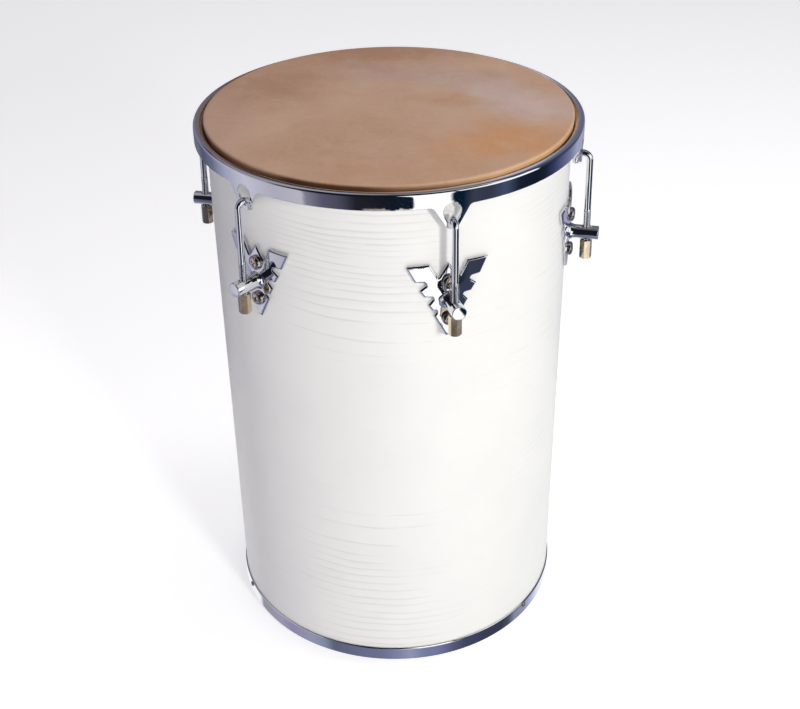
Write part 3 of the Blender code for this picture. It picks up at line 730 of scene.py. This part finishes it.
def build_plate_mesh():
    half = [(u * MM, z * MM, r * MM) for u, z, r in PLATE_HALF]
    loop = half + [(-u, z, r) for u, z, r in reversed(half[1:])]
    loop = list(reversed(loop))
    points, radii = [(u, z) for u, z, _ in loop], [r for *_, r in loop]
    area = sum(a[0] * b[1] - b[0] * a[1] for a, b in zip(points, points[1:] + points[:1]))
    if area < 0:
        points, radii = points[::-1], radii[::-1]
    r_in = 152.75 * MM

    def place(u, z, radius):
        lift = max(0.0, (radius - r_in) / (SEAT_R - r_in)) ** 2
        radius += swell(u, z) * lift
        a = u / SEAT_R
        return (radius * math.cos(a), radius * math.sin(a), z)

    bm = bmesh.new()
    levels = [(0.30, r_in), (0.10, r_in + 0.06 * MM), (0.0, r_in + 0.28 * MM), (0.0, SEAT_R - 0.86 * MM),
              (0.035, SEAT_R - 0.79 * MM), (0.10, SEAT_R - 0.72 * MM), (1.12, SEAT_R - 0.075 * MM),
              (1.19, SEAT_R - 0.03 * MM), (1.29, SEAT_R)]
    rings = []
    for inset, radius in levels:
        rings.append([bm.verts.new(place(u, z, radius)) for u, z in corner_loop(points, radii, inset * MM)])
    for one, two in zip(rings, rings[1:]):
        for n in range(len(one)):
            m = (n + 1) % len(one)
            bm.faces.new([one[n], one[m], two[m], two[n]])
    for inset, radius, flip in ((levels[0][0], r_in, True), (levels[-1][0], SEAT_R, False)):
        found, faces = filled(corner_loop(points, radii, inset * MM), [], 3.0 * MM if flip else 0.9 * MM)
        made = {}
        for face in faces:
            for i in face:
                if i not in made:
                    made[i] = bm.verts.new(place(found[i].x, found[i].y, radius))
            corners = [made[i] for i in face]
            bm.faces.new(list(reversed(corners)) if flip else corners)
    return finish(bm, "lug_plate_fine", CHROME_SOFT, 24.0, merge=6e-6)


# ---------------------------------------------------------------- lug post
POST_Z = 383.3 * MM
AXIS_R = 168.8 * MM
LEAN, BEND_Z = 0.018, 449.2 * MM      # the foot of each rod stands out a little further
ALONG_ROD = Matrix.Rotation(-math.atan(LEAN), 4, "Y")


def rod_x(z):
    return AXIS_R + LEAN * max(0.0, BEND_Z - z)


def build_post_mesh():
    profile = [(0.0, 153.1 * MM), (8.4 * MM, 153.1 * MM)]
    profile += [(8.95 * MM - 2.95 * MM * math.sin(t), 161.4 * MM - 5.9 * MM * math.cos(t))
                for t in np.linspace(0.0, math.pi / 2, 15)]
    profile += rounded([(6.0 * MM, 163 * MM), (6.0 * MM, 180.2 * MM), (0.0, 180.2 * MM)],
                       [0, 0.75 * MM, 0], 6, closed=False)
    bm = bmesh.new()
    revolve(bm, profile, 72, closed=False, along_x=True)
    body = finish(bm, "post_body", CHROME)
    bm = bmesh.new()
    revolve(bm, [(0.0, -9 * MM), (4.6 * MM, -9 * MM), (4.6 * MM, -6.05 * MM), (3.4 * MM, -5.0 * MM), (3.4 * MM, 5.0 * MM),
                 (4.6 * MM, 6.05 * MM), (4.6 * MM, 9 * MM), (0.0, 9 * MM)], 48, closed=False)
    bmesh.ops.transform(bm, verts=bm.verts, matrix=Matrix.Translation((rod_x(POST_Z), 0, 0)) @ ALONG_ROD)
    hole = finish(bm, "post_hole", CHROME)
    mesh = cut(body, "lug_post_fine", CHROME, [hole])
    mesh.transform(Matrix.Translation((0, 0, POST_Z)))
    return mesh


# ---------------------------------------------------------------- tuning nut
NUT_Z0, NUT_L, NUT_AF = 359.9 * MM, 17.0 * MM, 9.2 * MM


def build_nut_mesh():
    corner = NUT_AF / math.sqrt(3)
    flats = [(corner * math.cos(a), corner * math.sin(a)) for a in np.radians(np.arange(6) * 60.0)]
    outline = rounded(flats, 0.35 * MM, 6)
    bm = bmesh.new()
    low = [bm.verts.new((x, y, 0.0)) for x, y in outline]
    high = [bm.verts.new((x, y, NUT_L)) for x, y in outline]
    for n in range(len(low)):
        m = (n + 1) % len(low)
        bm.faces.new([low[n], low[m], high[m], high[n]])
    bm.faces.new(low)
    bm.faces.new(high)
    body = finish(bm, "nut_body", BRASS)
    reach, face = corner + 0.5 * MM, NUT_AF / 2 - 0.2 * MM
    drop = (reach - face) * 0.6
    bm = bmesh.new()
    revolve(bm, [(0.0, -0.001 * MM), (face, -0.001 * MM), (reach, drop), (reach, NUT_L - drop),
                 (face, NUT_L + 0.001 * MM), (0.0, NUT_L + 0.001 * MM)], 72, closed=False)
    turned = finish(bm, "nut_turned", BRASS)
    both = cut(body, "nut_both", BRASS, [turned], "INTERSECT", 20.0)
    bm = bmesh.new()
    revolve(bm, [(0.0, -1 * MM), (3.95 * MM, -1 * MM), (3.95 * MM, -0.05 * MM), (3.3 * MM, 0.6 * MM), (3.3 * MM, NUT_L - 0.6 * MM),
                 (3.95 * MM, NUT_L + 0.05 * MM), (3.95 * MM, NUT_L + 1 * MM), (0.0, NUT_L + 1 * MM)], 48, closed=False)
    bore = finish(bm, "nut_bore", BRASS)
    return cut(both, "tuning_nut_fine", BRASS, [bore], sharp=20.0)


# ---------------------------------------------------------------- lug screws
SCREW_Z = (398.9 * MM, 366.6 * MM)


def build_screw_mesh():
    r, h = 6.0 * MM, 3.6 * MM
    head = rounded([(0.0, h), (4.6 * MM, h), (6.0 * MM, 1.9 * MM), (6.0 * MM, 0.0), (2.5 * MM, 0.0)],
                   [0, 3.0 * MM, 1.4 * MM, 0.3 * MM, 0], 6, closed=False)
    profile = head + [(2.5 * MM, -17.4 * MM), (2.0 * MM, -17.9 * MM), (0.0, -17.9 * MM)]
    bm = bmesh.new()
    revolve(bm, profile, 48, closed=False, along_x=True)
    body = finish(bm, "screw_body", STEEL)
    tools = []
    for turn in (0.0, 90.0):
        bm = bmesh.new()
        low = [bm.verts.new((h - 2.5 * MM, y, z)) for y, z in
               ((-0.9 * MM, -0.42 * MM), (0.9 * MM, -0.42 * MM), (0.9 * MM, 0.42 * MM), (-0.9 * MM, 0.42 * MM))]
        high = [bm.verts.new((h + 0.6 * MM, y, z)) for y, z in
                ((-3.3 * MM, -0.72 * MM), (3.3 * MM, -0.72 * MM), (3.3 * MM, 0.72 * MM), (-3.3 * MM, 0.72 * MM))]
        for n in range(4):
            m = (n + 1) % 4
            bm.faces.new([low[n], low[m], high[m], high[n]])
        bm.faces.new(low)
        bm.faces.new(high)
        bmesh.ops.rotate(bm, verts=bm.verts, cent=(0, 0, 0), matrix=Matrix.Rotation(math.radians(turn), 3, "X"))
        tools.append(finish(bm, f"cross_{turn:.0f}", STEEL))
    return cut(body, "lug_screw_fine", STEEL, tools, sharp=38.0)


# ---------------------------------------------------------------- tension rod
ROD_R, THREAD_R = 2.7 * MM, 2.95 * MM
TIP_R = 157.1 * MM


def build_rod_mesh():
    middle = (AXIS_R + TIP_R) / 2
    low, high = 362.0 * MM, 404.0 * MM
    rows = 42 * 7
    path = [(rod_x(low), low, THREAD_R * 0.8), (rod_x(low + 0.5 * MM), low + 0.5 * MM, THREAD_R)]
    path += [(rod_x(z), z, THREAD_R) for z in np.linspace(low + 0.6 * MM, high, rows)]
    path += [(rod_x(high + h), high + h, ROD_R) for h in (0.5 * MM, 2 * MM)]
    path += [(rod_x(z), z, ROD_R) for z in np.linspace(high + 12 * MM, BEND_Z - 3 * MM, 4)]
    path += [(x, z, ROD_R) for x, z in arc((middle, BEND_Z), AXIS_R - middle, 0, 180, 22)]
    path += [(TIP_R, 446.5 * MM, ROD_R), (TIP_R, 446.2 * MM, ROD_R * 0.96), (TIP_R, 446.0 * MM, ROD_R * 0.84)]
    bm = bmesh.new()
    tube(bm, path, 28, thread=(low + 0.6 * MM, high, 1.0 * MM, 0.42 * MM))
    return finish(bm, "tension_rod_fine", CHROME, 50.0)


def build_lugs():
    plates, posts, nuts = build_plate_mesh(), build_post_mesh(), build_nut_mesh()
    screws, rods = build_screw_mesh(), build_rod_mesh()
    nut_turns = (6.6, 18.6, 3.0, 25.0, 1.6, 15.2)
    for k in range(LUGS):
        label, turn = k + 1, DRUM_TURN + 60.0 * k
        obj = show(f"lug_plate_fine_{label}", plates, turn)
        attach(obj, "shell_body")
        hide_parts(f"lug_plate_{label}")
        obj = show(f"lug_post_fine_{label}", posts, turn)
        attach(obj, "shell_body")
        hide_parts(f"lug_post_{label}")
        obj = show(f"tension_rod_fine_{label}", rods, turn)
        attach(obj, "hoop_body")
        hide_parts(f"tension_rod_{label}")
        obj = show(f"tuning_nut_fine_{label}", nuts)
        obj.matrix_world = (
            Matrix.Rotation(math.radians(turn), 4, "Z") @ Matrix.Translation((rod_x(NUT_Z0), 0, NUT_Z0))
            @ ALONG_ROD @ Matrix.Rotation(math.radians(nut_turns[k]), 4, "Z"))
        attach(obj, f"nut_body_{label}")
        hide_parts(f"tuning_nut_{label}")
        for z, where in zip(SCREW_Z, ("upper", "lower")):
            spin = (37 * k + (20 if where == "upper" else 65)) % 90
            obj = show(f"lug_screw_{where}_fine_{label}", screws)
            obj.matrix_world = (
                Matrix.Rotation(math.radians(turn), 4, "Z") @ Matrix.Translation((155.7 * MM, 0, z))
                @ Matrix.Rotation(math.radians(spin), 4, "X"))
            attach(obj, "shell_body")
            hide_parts(f"lug_screw_{where}_{label}")


# ---------------------------------------------------------------- bottom rim
def build_rim():
    lip = [(152.78 * MM + 0.82 * MM * math.cos(t), 13.7 * MM + 1.8 * MM * math.sin(t))
           for t in np.linspace(0.0, math.pi / 2, 11)]
    profile = lip + rounded(
        [(152.78 * MM, 15.5 * MM), (152.75 * MM, 15.4 * MM), (152.75 * MM, 0.9 * MM), (145.0 * MM, 0.9 * MM),
         (145.0 * MM, 8.0 * MM), (144.1 * MM, 8.0 * MM), (144.1 * MM, 0.0), (153.6 * MM, 0.0), (153.6 * MM, 13.7 * MM)],
        [0, 0, 2.1 * MM, 2.1 * MM, 0.3 * MM, 0.4 * MM, 3.0 * MM, 3.0 * MM, 0], 7, closed=False)[1:-1]
    bm = bmesh.new()
    revolve(bm, profile, 360)
    obj = show("bottom_rim_fine", finish(bm, "bottom_rim_fine", CHROME_SOFT, 45.0), DRUM_TURN, fixed=True)
    even_normals(obj)
    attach(obj, "shell_body")
    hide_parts("bottom_rim")

    head = [(0.0, 155.25 * MM)] + [
        (2.6 * MM * math.sin(a), (153.75 + 1.5 * math.cos(a)) * MM) for a in np.radians(np.linspace(10, 90, 9))]
    profile = head + [(2.6 * MM, 153.62 * MM), (1.5 * MM, 153.62 * MM), (1.5 * MM, 147.6 * MM), (0.0, 147.6 * MM)]
    bm = bmesh.new()
    revolve(bm, profile, 32, closed=False, along_x=True)
    mesh = finish(bm, "rim_rivet_fine", STEEL)
    lift = (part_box("rim_rivet_1")[0][2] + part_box("rim_rivet_1")[1][2]) / 2
    mesh.transform(Matrix.Translation((0, 0, lift)))
    for n, azimuth in enumerate((-68.0, 52.0, 172.0)):
        obj = show(f"rim_rivet_fine_{n + 1}", mesh, azimuth - 90.0)
        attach(obj, "shell_body")
        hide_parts(f"rim_rivet_{n + 1}")


# ---------------------------------------------------------------- white covering
WRAP = (151.6 * MM, 152.42 * MM, 3.4 * MM, 478.4 * MM)


def embossed_lines():
    """Heights of the embossed lines, from the top down: close together at the top and
    the foot, and further apart and fainter between."""
    rng = np.random.default_rng(41)
    lines, z = [], 474.2
    while z > 7.5:
        lines.append(z * MM)
        gap = np.interp(z, [0, 118, 132, 158, 172, 335, 352, 372, 388, 480],
                        [8.0, 7.6, 12.0, 20.0, 9.0, 9.0, 18.0, 15.0, 5.4, 4.9])
        z -= max(gap * rng.uniform(0.78, 1.24), 3.9)
    return lines


def line_strength(azimuth, z):
    """How deep the lines are pressed at a place on the shell, 0 to 1."""
    patchy, broken = smooth_wave(33, 22, 9, 0.085), smooth_wave(52, 34, 26, 0.016)
    degrees = np.degrees(azimuth)

    def near(centre, width):
        off = (degrees - centre + 180.0) % 360.0 - 180.0
        return np.exp(-((off / width) ** 2))

    middle = 1.0 / (1.0 + np.exp(-(z - 0.172) / 0.008)) / (1.0 + np.exp((z - 0.342) / 0.006))
    ends = near(-10, 25) + 0.8 * near(150, 45) + 0.6 * near(-125, 30)
    sides = 0.45 * near(62, 26) + 0.55 * near(-170, 40) + 0.40 * near(-72, 16)
    power = 0.12 + ends * (1.0 - 0.86 * middle) + sides
    return np.clip(power * (0.82 + 0.26 * patchy(azimuth, z) + 0.24 * broken(azimuth, z)), 0.04, 1.15)


def build_wrap():
    r_in, r_out, z0, z1 = WRAP
    round_steps = 252
    shape = ((-1.5, 0.0), (-1.1, 0.12), (-0.7, 0.50), (-0.3, 0.90), (0.0, 1.0), (0.3, 0.90), (0.7, 0.50), (1.1, 0.12), (1.5, 0.0))
    lines = list(reversed(embossed_lines()))
    rows = [(z0, 0.0, 1.0), (z0 + 1.2 * MM, 0.0, 1.0)]              # height, groove, ridge
    for n, line in enumerate(lines):
        if n:
            low, high = lines[n - 1] + 1.5 * MM, line - 1.5 * MM
            bits = max(1, round((high - low) / (2.6 * MM)))
            rows += [(low + (high - low) * k / bits, 0.0, math.sin(math.pi * k / bits)) for k in range(1, bits)]
        rows += [(line + off * MM, depth, 0.0) for off, depth in shape]
    rows += [(z1 - 1.2 * MM, 0.0, 1.0), (z1, 0.0, 1.0)]
    heights, groove, ridge = (np.array(column)[:, None] for column in zip(*rows))
    azimuths = np.linspace(0, 2 * math.pi, round_steps, endpoint=False)[None, :]

    bow, wander, shiver = smooth_wave(3, 14, 3, 0.26), smooth_wave(8, 26, 8, 0.11), smooth_wave(21, 40, 22, 0.07)
    ease = np.clip(np.minimum(heights - z0, z1 - heights) / 0.035, 0, 1) ** 1.5
    tilt = 11.0 * MM * np.exp(-(((heights - 0.335) / 0.075) ** 2)) + 4.0 * MM * np.exp(-(((heights - 0.13) / 0.06) ** 2))
    drift = -tilt * np.sin(azimuths + math.radians(22.0))
    drift = drift + 1.7 * MM * bow(azimuths, heights) + 0.75 * MM * wander(azimuths, heights)
    drift = drift + 0.22 * MM * shiver(azimuths, heights)
    zz = heights + ease * drift
    power = line_strength(azimuths, heights)
    radius = r_out - power * (0.24 * MM * groove + 0.10 * MM * (1.0 - groove) * (1.0 - ridge))
    radius[[0, -1], :] = r_out
    value = 1.0 - power * groove
    grain = heights + 0.0 * zz

    count = len(rows)
    outer = np.stack([radius * np.sin(azimuths), -radius * np.cos(azimuths), zz], axis=-1)
    ends = np.array([z0, z1])[:, None] + 0.0 * azimuths
    inner = np.stack([r_in * np.sin(azimuths) + 0.0 * ends, -r_in * np.cos(azimuths) + 0.0 * ends, ends], axis=-1)
    verts = np.concatenate([outer.reshape(-1, 3), inner.reshape(-1, 3)])
    faces = []
    last, top = count * round_steps, (count - 1) * round_steps
    for n in range(round_steps):
        m = (n + 1) % round_steps
        for i in range(count - 1):
            low, high = i * round_steps, (i + 1) * round_steps
            faces.append((low + n, low + m, high + m, high + n))
        faces.append((last + m, last + n, last + round_steps + n, last + round_steps + m))
        faces.append((m, n, last + n, last + m))
        faces.append((top + n, top + m, last + round_steps + m, last + round_steps + n))
    mesh = bpy.data.meshes.new("white_covering_fine")
    mesh.from_pydata(verts.tolist(), [], faces)
    for name, table, rest in (("relief", value, 1.0), ("grain_z", grain, 0.0)):
        layer = mesh.attributes.new(name, "FLOAT", "POINT")
        values = np.concatenate([table.reshape(-1), np.full(2 * round_steps, rest)]).astype(np.float32)
        layer.data.foreach_set("value", values)
    mesh.materials.append(LAMINATE)
    mesh.validate()
    mesh.shade_smooth()
    mesh.set_sharp_from_angle(angle=math.radians(40))
    obj = show("white_covering_fine", mesh)
    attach(obj, "shell_body")
    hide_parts("white_covering")


# ---------------------------------------------------------------- wooden shell
def build_shell():
    profile = rounded(
        [(145.3 * MM, 3.8 * MM), (147.7 * MM, 1.4 * MM), (150.7 * MM, 1.4 * MM), (151.3 * MM, 2.6 * MM),
         (151.3 * MM, 479.0 * MM), (149.6 * MM, 480.6 * MM), (148.7 * MM, 480.6 * MM), (145.3 * MM, 477.2 * MM)],
        [0.3 * MM, 0.3 * MM, 0.3 * MM, 0.3 * MM, 1.2 * MM, 0.4 * MM, 0.8 * MM, 0.5 * MM], 4)
    dense = []
    for one, two in zip(profile, profile[1:] + profile[:1]):
        bits = max(1, round(math.dist(one, two) / (40 * MM)))
        dense += [(one[0] + (two[0] - one[0]) * k / bits, one[1] + (two[1] - one[1]) * k / bits) for k in range(bits)]
    bm = bmesh.new()
    revolve(bm, dense, 240)
    obj = show("wood_shell_fine", finish(bm, "wood_shell_fine", WOOD), DRUM_TURN, fixed=True)
    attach(obj, "shell_body")
    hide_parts("wood_shell")


# ---------------------------------------------------------------- hide
FACE_Z, HIDE_T = 481.8 * MM, 0.9 * MM
COLLAR_R, FOLD = 153.65 * MM, 1.9 * MM
LAP = (159.1 * MM, 468.0 * MM, 476.4 * MM, 155.2 * MM)


def build_hide():
    """The head is two pieces with one look: the face with its collar, and the part that is lapped round the flesh hoop."""
    steps = 240
    pucker = smooth_wave(5, 20, 34, 0.05)
    slow = smooth_wave(12, 12, 6, 0.2)

    bm = bmesh.new()
    outer = [(r, FACE_Z) for r in np.linspace(0.0, COLLAR_R - FOLD, 34)]
    outer += arc((COLLAR_R - FOLD, FACE_Z - FOLD), FOLD, 90, 0, 7)[1:]
    outer += [(COLLAR_R, z) for z in np.linspace(FACE_Z - FOLD - 1.2 * MM, 468.4 * MM, 9)]
    inner_r = COLLAR_R - HIDE_T
    inner = [(inner_r, z) for z in np.linspace(468.4 * MM, FACE_Z - FOLD, 6)]
    inner += arc((COLLAR_R - FOLD, FACE_Z - FOLD), FOLD - HIDE_T, 0, 90, 4)[1:]
    inner += [(r, FACE_Z - HIDE_T) for r in np.linspace(COLLAR_R - FOLD - 4 * MM, 0.0, 8)]
    revolve(bm, outer + inner, steps, closed=False)
    for v in bm.verts:
        r = math.hypot(v.co.x, v.co.y)
        if r < 1e-6:
            continue
        azimuth = math.atan2(v.co.x, -v.co.y)
        below = min(1.0, max(0.0, (FACE_Z - 1.0 * MM - v.co.z) / (6 * MM)))
        if v.co.z < FACE_Z - 0.95 * MM and r > 150 * MM:
            out = below * (0.22 * MM * float(pucker(azimuth, v.co.z)) + 0.15 * MM * float(slow(azimuth, 0.0)))
            grow = (r + max(-0.25 * MM, min(out, 0.35 * MM))) / r
            v.co.x *= grow
            v.co.y *= grow
        elif v.co.z > FACE_Z - 0.05 * MM:
            edge = min(1.0, (COLLAR_R - FOLD - r) / (12 * MM))
            v.co.z -= 0.10 * MM * max(0.0, edge) * (1.0 + 0.6 * float(slow(azimuth, r * 3)))
    face = show("hide_face", finish(bm, "hide_face", HIDE, 60.0))
    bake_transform(face)
    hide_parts("drum_skin")

    lap_r, z0, z1, end_r = LAP
    t = HIDE_T
    profile = rounded(
        [(COLLAR_R - t - 0.05 * MM, 469.4 * MM), (COLLAR_R - t - 0.05 * MM, z0), (lap_r, z0), (lap_r, z1), (end_r, z1),
         (end_r, z1 - t), (lap_r - t, z1 - t), (lap_r - t, z0 + t), (COLLAR_R + 0.05 * MM, z0 + t), (COLLAR_R + 0.05 * MM, 469.4 * MM)],
        [0.2 * MM, 1.3 * MM, 1.2 * MM, 1.3 * MM, 0.3 * MM, 0.3 * MM, 0.5 * MM, 0.4 * MM, 0.1 * MM, 0.2 * MM], 5)
    bm = bmesh.new()
    revolve(bm, profile, steps)
    lap = show("hide_lap", finish(bm, "hide_lap", HIDE, 60.0))
    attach(lap, "hoop_body")
    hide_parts("drum_skin")

    bm = bmesh.new()
    revolve(bm, rounded([(153.95 * MM, 469.2 * MM), (157.9 * MM, 469.2 * MM), (157.9 * MM, 475.2 * MM), (153.95 * MM, 475.2 * MM)],
                        0.5 * MM, 4), steps)
    ring = show("flesh_hoop_fine", finish(bm, "flesh_hoop_fine", INNER_STEEL))
    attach(ring, "hoop_body")
    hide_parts("flesh_hoop")


build_hoop()
build_lugs()
build_rim()
build_wrap()
build_shell()
build_hide()


# ---------------------------------------------------------------- studio
LOW = (
    (-180, (.12, .13, .17)), (-165, (.13, .14, .18)), (-150, (.16, .18, .23)), (-140, (.09, .10, .165)),
    (-125, (.16, .175, .27)), (-110, (.40, .41, .55)), (-92, (.62, .61, .71)), (-80, (.55, .54, .63)),
    (-70, (.49, .47, .57)), (-52, (.56, .54, .60)), (-49.8, (.25, .24, .31)), (-45, (.19, .185, .24)), (-40, (.11, .11, .17)),
    (-30, (.08, .08, .12)), (-20, (.018, .018, .026)), (-5, (.01, .012, .017)), (4, (.006, .012, .024)),
    (42, (.002, .013, .03)), (49, (.045, .055, .085)), (60, (.043, .045, .083)), (70, (.060, .085, .155)),
    (80, (.010, .016, .036)), (94, (.008, .012, .022)), (102, (.012, .018, .035)), (110, (.040, .05, .12)),
    (120, (.11, .12, .24)), (130, (.19, .21, .34)), (142, (.38, .39, .58)), (160, (.38, .38, .50)),
    (172, (.18, .19, .26)), (180, (.12, .13, .17)))
FOOT = (
    (-180, (1.0, 1.0, 1.0)), (-129, (1.0, 1.0, 1.0)), (-124, (.32, .32, .38)), (-100, (.38, .36, .47)),
    (-88, (.31, .28, .46)), (-70, (.34, .35, .47)), (-58, (.26, .30, .43)), (-50, (.125, .14, .21)),
    (-30, (.16, .175, .28)), (-12, (.18, .195, .33)), (0, (.25, .265, .43)), (9, (.33, .355, .53)),
    (20, (.21, .245, .385)), (30, (.20, .215, .41)), (42, (.11, .12, .215)), (52, (.062, .075, .14)),
    (70, (.052, .054, .105)), (86, (.045, .052, .085)), (94, (.09, .10, .15)), (100, (.28, .29, .42)),
    (112, (.30, .34, .46)), (124, (.55, .60, .80)), (134, (.85, .86, 1.0)), (146, (1.0, 1.0, 1.0)),
    (180, (1.0, 1.0, 1.0)))
LEVEL = (
    (-180, (.07, .056, .05)), (-178.2, (.025, .016, .010)), (-174.9, (.035, .022, .018)), (-173.5, (.09, .04, .03)),
    (-172.5, (.08, .05, .04)), (-171.7, (.18, .13, .13)), (-165, (.17, .17, .21)), (-145, (.20, .22, .32)),
    (-125, (.25, .24, .33)), (-105, (.46, .45, .50)), (-74, (.46, .43, .48)), (-66, (.10, .10, .12)),
    (-60, (.012, .013, .018)), (0, (.008, .010, .014)), (54, (.008, .012, .018)), (80, (.020, .030, .055)),
    (95, (.03, .045, .085)), (125, (.06, .075, .135)), (150, (.16, .16, .22)), (171.2, (.14, .13, .19)),
    (171.8, (.25, .26, .34)), (172.5, (.37, .37, .50)), (173.5, (.68, .65, .72)), (174.9, (.48, .42, .45)),
    (176.5, (.29, .22, .22)), (178.2, (.31, .24, .24)), (180, (.07, .056, .05)))
UPPER = (
    (-180, (.16, .16, .20)), (-140, (.22, .22, .27)), (-112, (.36, .35, .42)), (-68, (.36, .35, .42)),
    (-58, (.05, .05, .07)), (-48, (.008, .009, .012)), (60, (.008, .009, .012)), (88, (.045, .055, .085)),
    (118, (.05, .065, .12)), (150, (.14, .14, .19)), (180, (.16, .16, .20)))
ABOVE = (
    (-180, (.22, .22, .27)), (-110, (.40, .39, .46)), (-62, (.36, .35, .42)), (-40, (.10, .10, .13)),
    (30, (.10, .10, .12)), (60, (.50, .50, .52)), (90, (.45, .45, .48)), (112, (.12, .13, .18)),
    (150, (.14, .14, .19)), (180, (.22, .22, .27)))


def make_world():
    """A dark studio with a few soft panels, which is what polished metal mirrors. The
    even light of a white room around it reaches the matt surfaces."""
    n = Nodes("studio", world=True)
    bpy.context.scene.world = n.owner
    direction = n.new("ShaderNodeTexCoord").outputs["Generated"]
    x, y, z = n.split(direction)
    azimuth = n.math("ARCTAN2", x, n.mul(y, -1.0))           # 0 to the front, + to the right
    around = n.map(azimuth, -math.pi, math.pi)
    azimuth = n.mul(azimuth, 180.0 / math.pi)
    elevation = n.mul(n.math("ARCSINE", z), 180.0 / math.pi)

    def band(stops):
        return n.ramp(around, [((degrees + 180.0) / 360.0, colour) for degrees, colour in stops])

    colour = n.mix(n.map(elevation, -31.2, -33.5), band(LOW), band(FOOT))
    # a small warm card low in front of the drum, and another to its right
    def card(low_az, high_az, low_el, high_el, edge=1.5):
        return n.mul(n.mul(n.map(azimuth, low_az - edge, low_az), n.map(azimuth, high_az + edge, high_az)),
                     n.mul(n.map(elevation, high_el + 0.4, high_el), n.map(elevation, low_el - 0.4, low_el)))
    colour = n.mix(card(-15.0, -1.0, -31.0, -27.4), colour, (.47, .42, .345))
    colour = n.mix(card(98.0, 113.0, -31.0, -27.4), colour, (.48, .44, .40))
    # and a narrow one that the rods mirror
    colour = n.mix(card(3.5, 12.0, -34.0, -27.8), colour, (.95, .88, .78))
    # a large soft panel to the right of the camera, whose edges lean
    over, under = n.math("MAXIMUM", n.add(elevation, 25.0), 0.0), n.math("MINIMUM", n.add(elevation, 25.0), 0.0)
    step = n.math("MINIMUM", n.add(elevation, 27.0), 0.0)
    left = n.add(n.add(n.mul(over, -0.25), n.mul(step, 2.2)), 13.4)
    right = n.add(n.mul(under, -0.9), 34.9)
    inside_left = n.map(n.math("SUBTRACT", azimuth, left), -0.5, 0.5)
    inside_right = n.map(n.math("SUBTRACT", azimuth, right), 1.1, -1.1)
    panel = n.mul(n.mul(inside_left, inside_right), n.mul(n.map(elevation, 17.0, 13.0), n.map(elevation, -40.0, -36.0)))
    colour = n.mix(n.map(elevation, -8.0, -2.0), colour, band(LEVEL))
    # a dark gap between the panels on the left
    colour = n.mix(card(-150.0, -57.0, 23.5, 31.5), colour, (.010, .011, .015))
    colour = n.mix(n.map(elevation, 30.0, 34.0), colour, band(UPPER))
    # a tall narrow light further to the right
    off = n.math("ABSOLUTE", n.math("SUBTRACT", azimuth, n.add(n.mul(elevation, 0.42), 58.0)))
    strip = n.mul(n.map(off, 8.6, 6.6), n.map(elevation, 0.0, 4.0))
    colour = n.mix(strip, colour, (.66, .66, .67))
    # and a wide low one beside it, whose lower edge rises towards the camera
    lower = n.add(n.mul(n.math("MAXIMUM", n.add(n.mul(azimuth, -1.0), 60.0), 0.0), 0.8), -14.0)
    wide = n.mul(n.map(n.math("ABSOLUTE", n.add(azimuth, -64.0)), 27.0, 25.0), n.map(elevation, 31.0, 28.0))
    colour = n.mix(n.mul(wide, n.map(n.math("SUBTRACT", elevation, lower), 0.0, 3.0)), colour, (1.15, 1.15, 1.17))
    colour = n.mix(n.map(elevation, 54.0, 66.0), colour, band(ABOVE))
    colour = n.mix(panel, colour, (1.30, 1.30, 1.30))
    room = n.ramp(around, [(0.0, (.12, .12, .14)), (0.25, (.125, .10, .165)), (0.5, (.150, .140, .168)),
                           (0.75, (.04, .04, .04)), (1.0, (.12, .12, .14))])
    rays = n.new("ShaderNodeLightPath").outputs
    seen = n.mix(rays["Is Camera Ray"], room, (.80, .80, .81))
    background = n.new("ShaderNodeBackground", inputs={0: n.mix(rays["Is Glossy Ray"], seen, colour), 1: 1.0})
    out = n.new("ShaderNodeOutputWorld")
    n.tree.links.new(background.outputs[0], out.inputs[0])


def area(name, place, target, size, power, colour=(1, 1, 1), seen=False):
    data = bpy.data.lights.new(name, "AREA")
    data.shape = "RECTANGLE"
    data.size, data.size_y = size
    data.energy = power
    data.color = colour
    lamp = bpy.data.objects.new(name, data)
    bpy.context.scene.collection.objects.link(lamp)
    lamp.location = place
    lamp.rotation_euler = (Vector(target) - Vector(place)).to_track_quat("-Z", "Y").to_euler()
    lamp.visible_glossy = seen
    return lamp


def make_floor():
    bm = bmesh.new()
    bmesh.ops.create_grid(bm, x_segments=2, y_segments=2, size=8.0)
    mesh = bpy.data.meshes.new("floor")
    bm.to_mesh(mesh)
    bm.free()
    floor = bpy.data.objects.new("floor", mesh)
    bpy.context.scene.collection.objects.link(floor)
    n = Nodes("floor")
    n.shader(Base_Color=(0.78, 0.78, 0.78), Roughness=0.9, Emission_Color=(1.0, 1.0, 1.0), Emission_Strength=0.62)
    mesh.materials.append(n.owner)
    floor.visible_glossy = False


make_world()
make_floor()
area("key", (0.962, -1.81, 1.10), (0, 0, 0.30), (0.28, 0.28), 21.0, (1.0, 0.995, 0.975))
area("side", (1.95, 0.05, 1.20), (0, 0, 0.25), (0.9, 0.9), 7.8, (0.99, 1.0, 0.98))
area("low", (-0.14, -1.60, 0.36), (0, 0, 0.20), (1.0, 0.5), 1.7, (0.98, 0.95, 1.0))
area("top", (0.15, 0.15, 1.75), (0, 0, 0.45), (0.9, 0.9), 10.0, (1.0, 0.965, 0.975))
bpy.context.scene.view_settings.view_transform = "Standard"
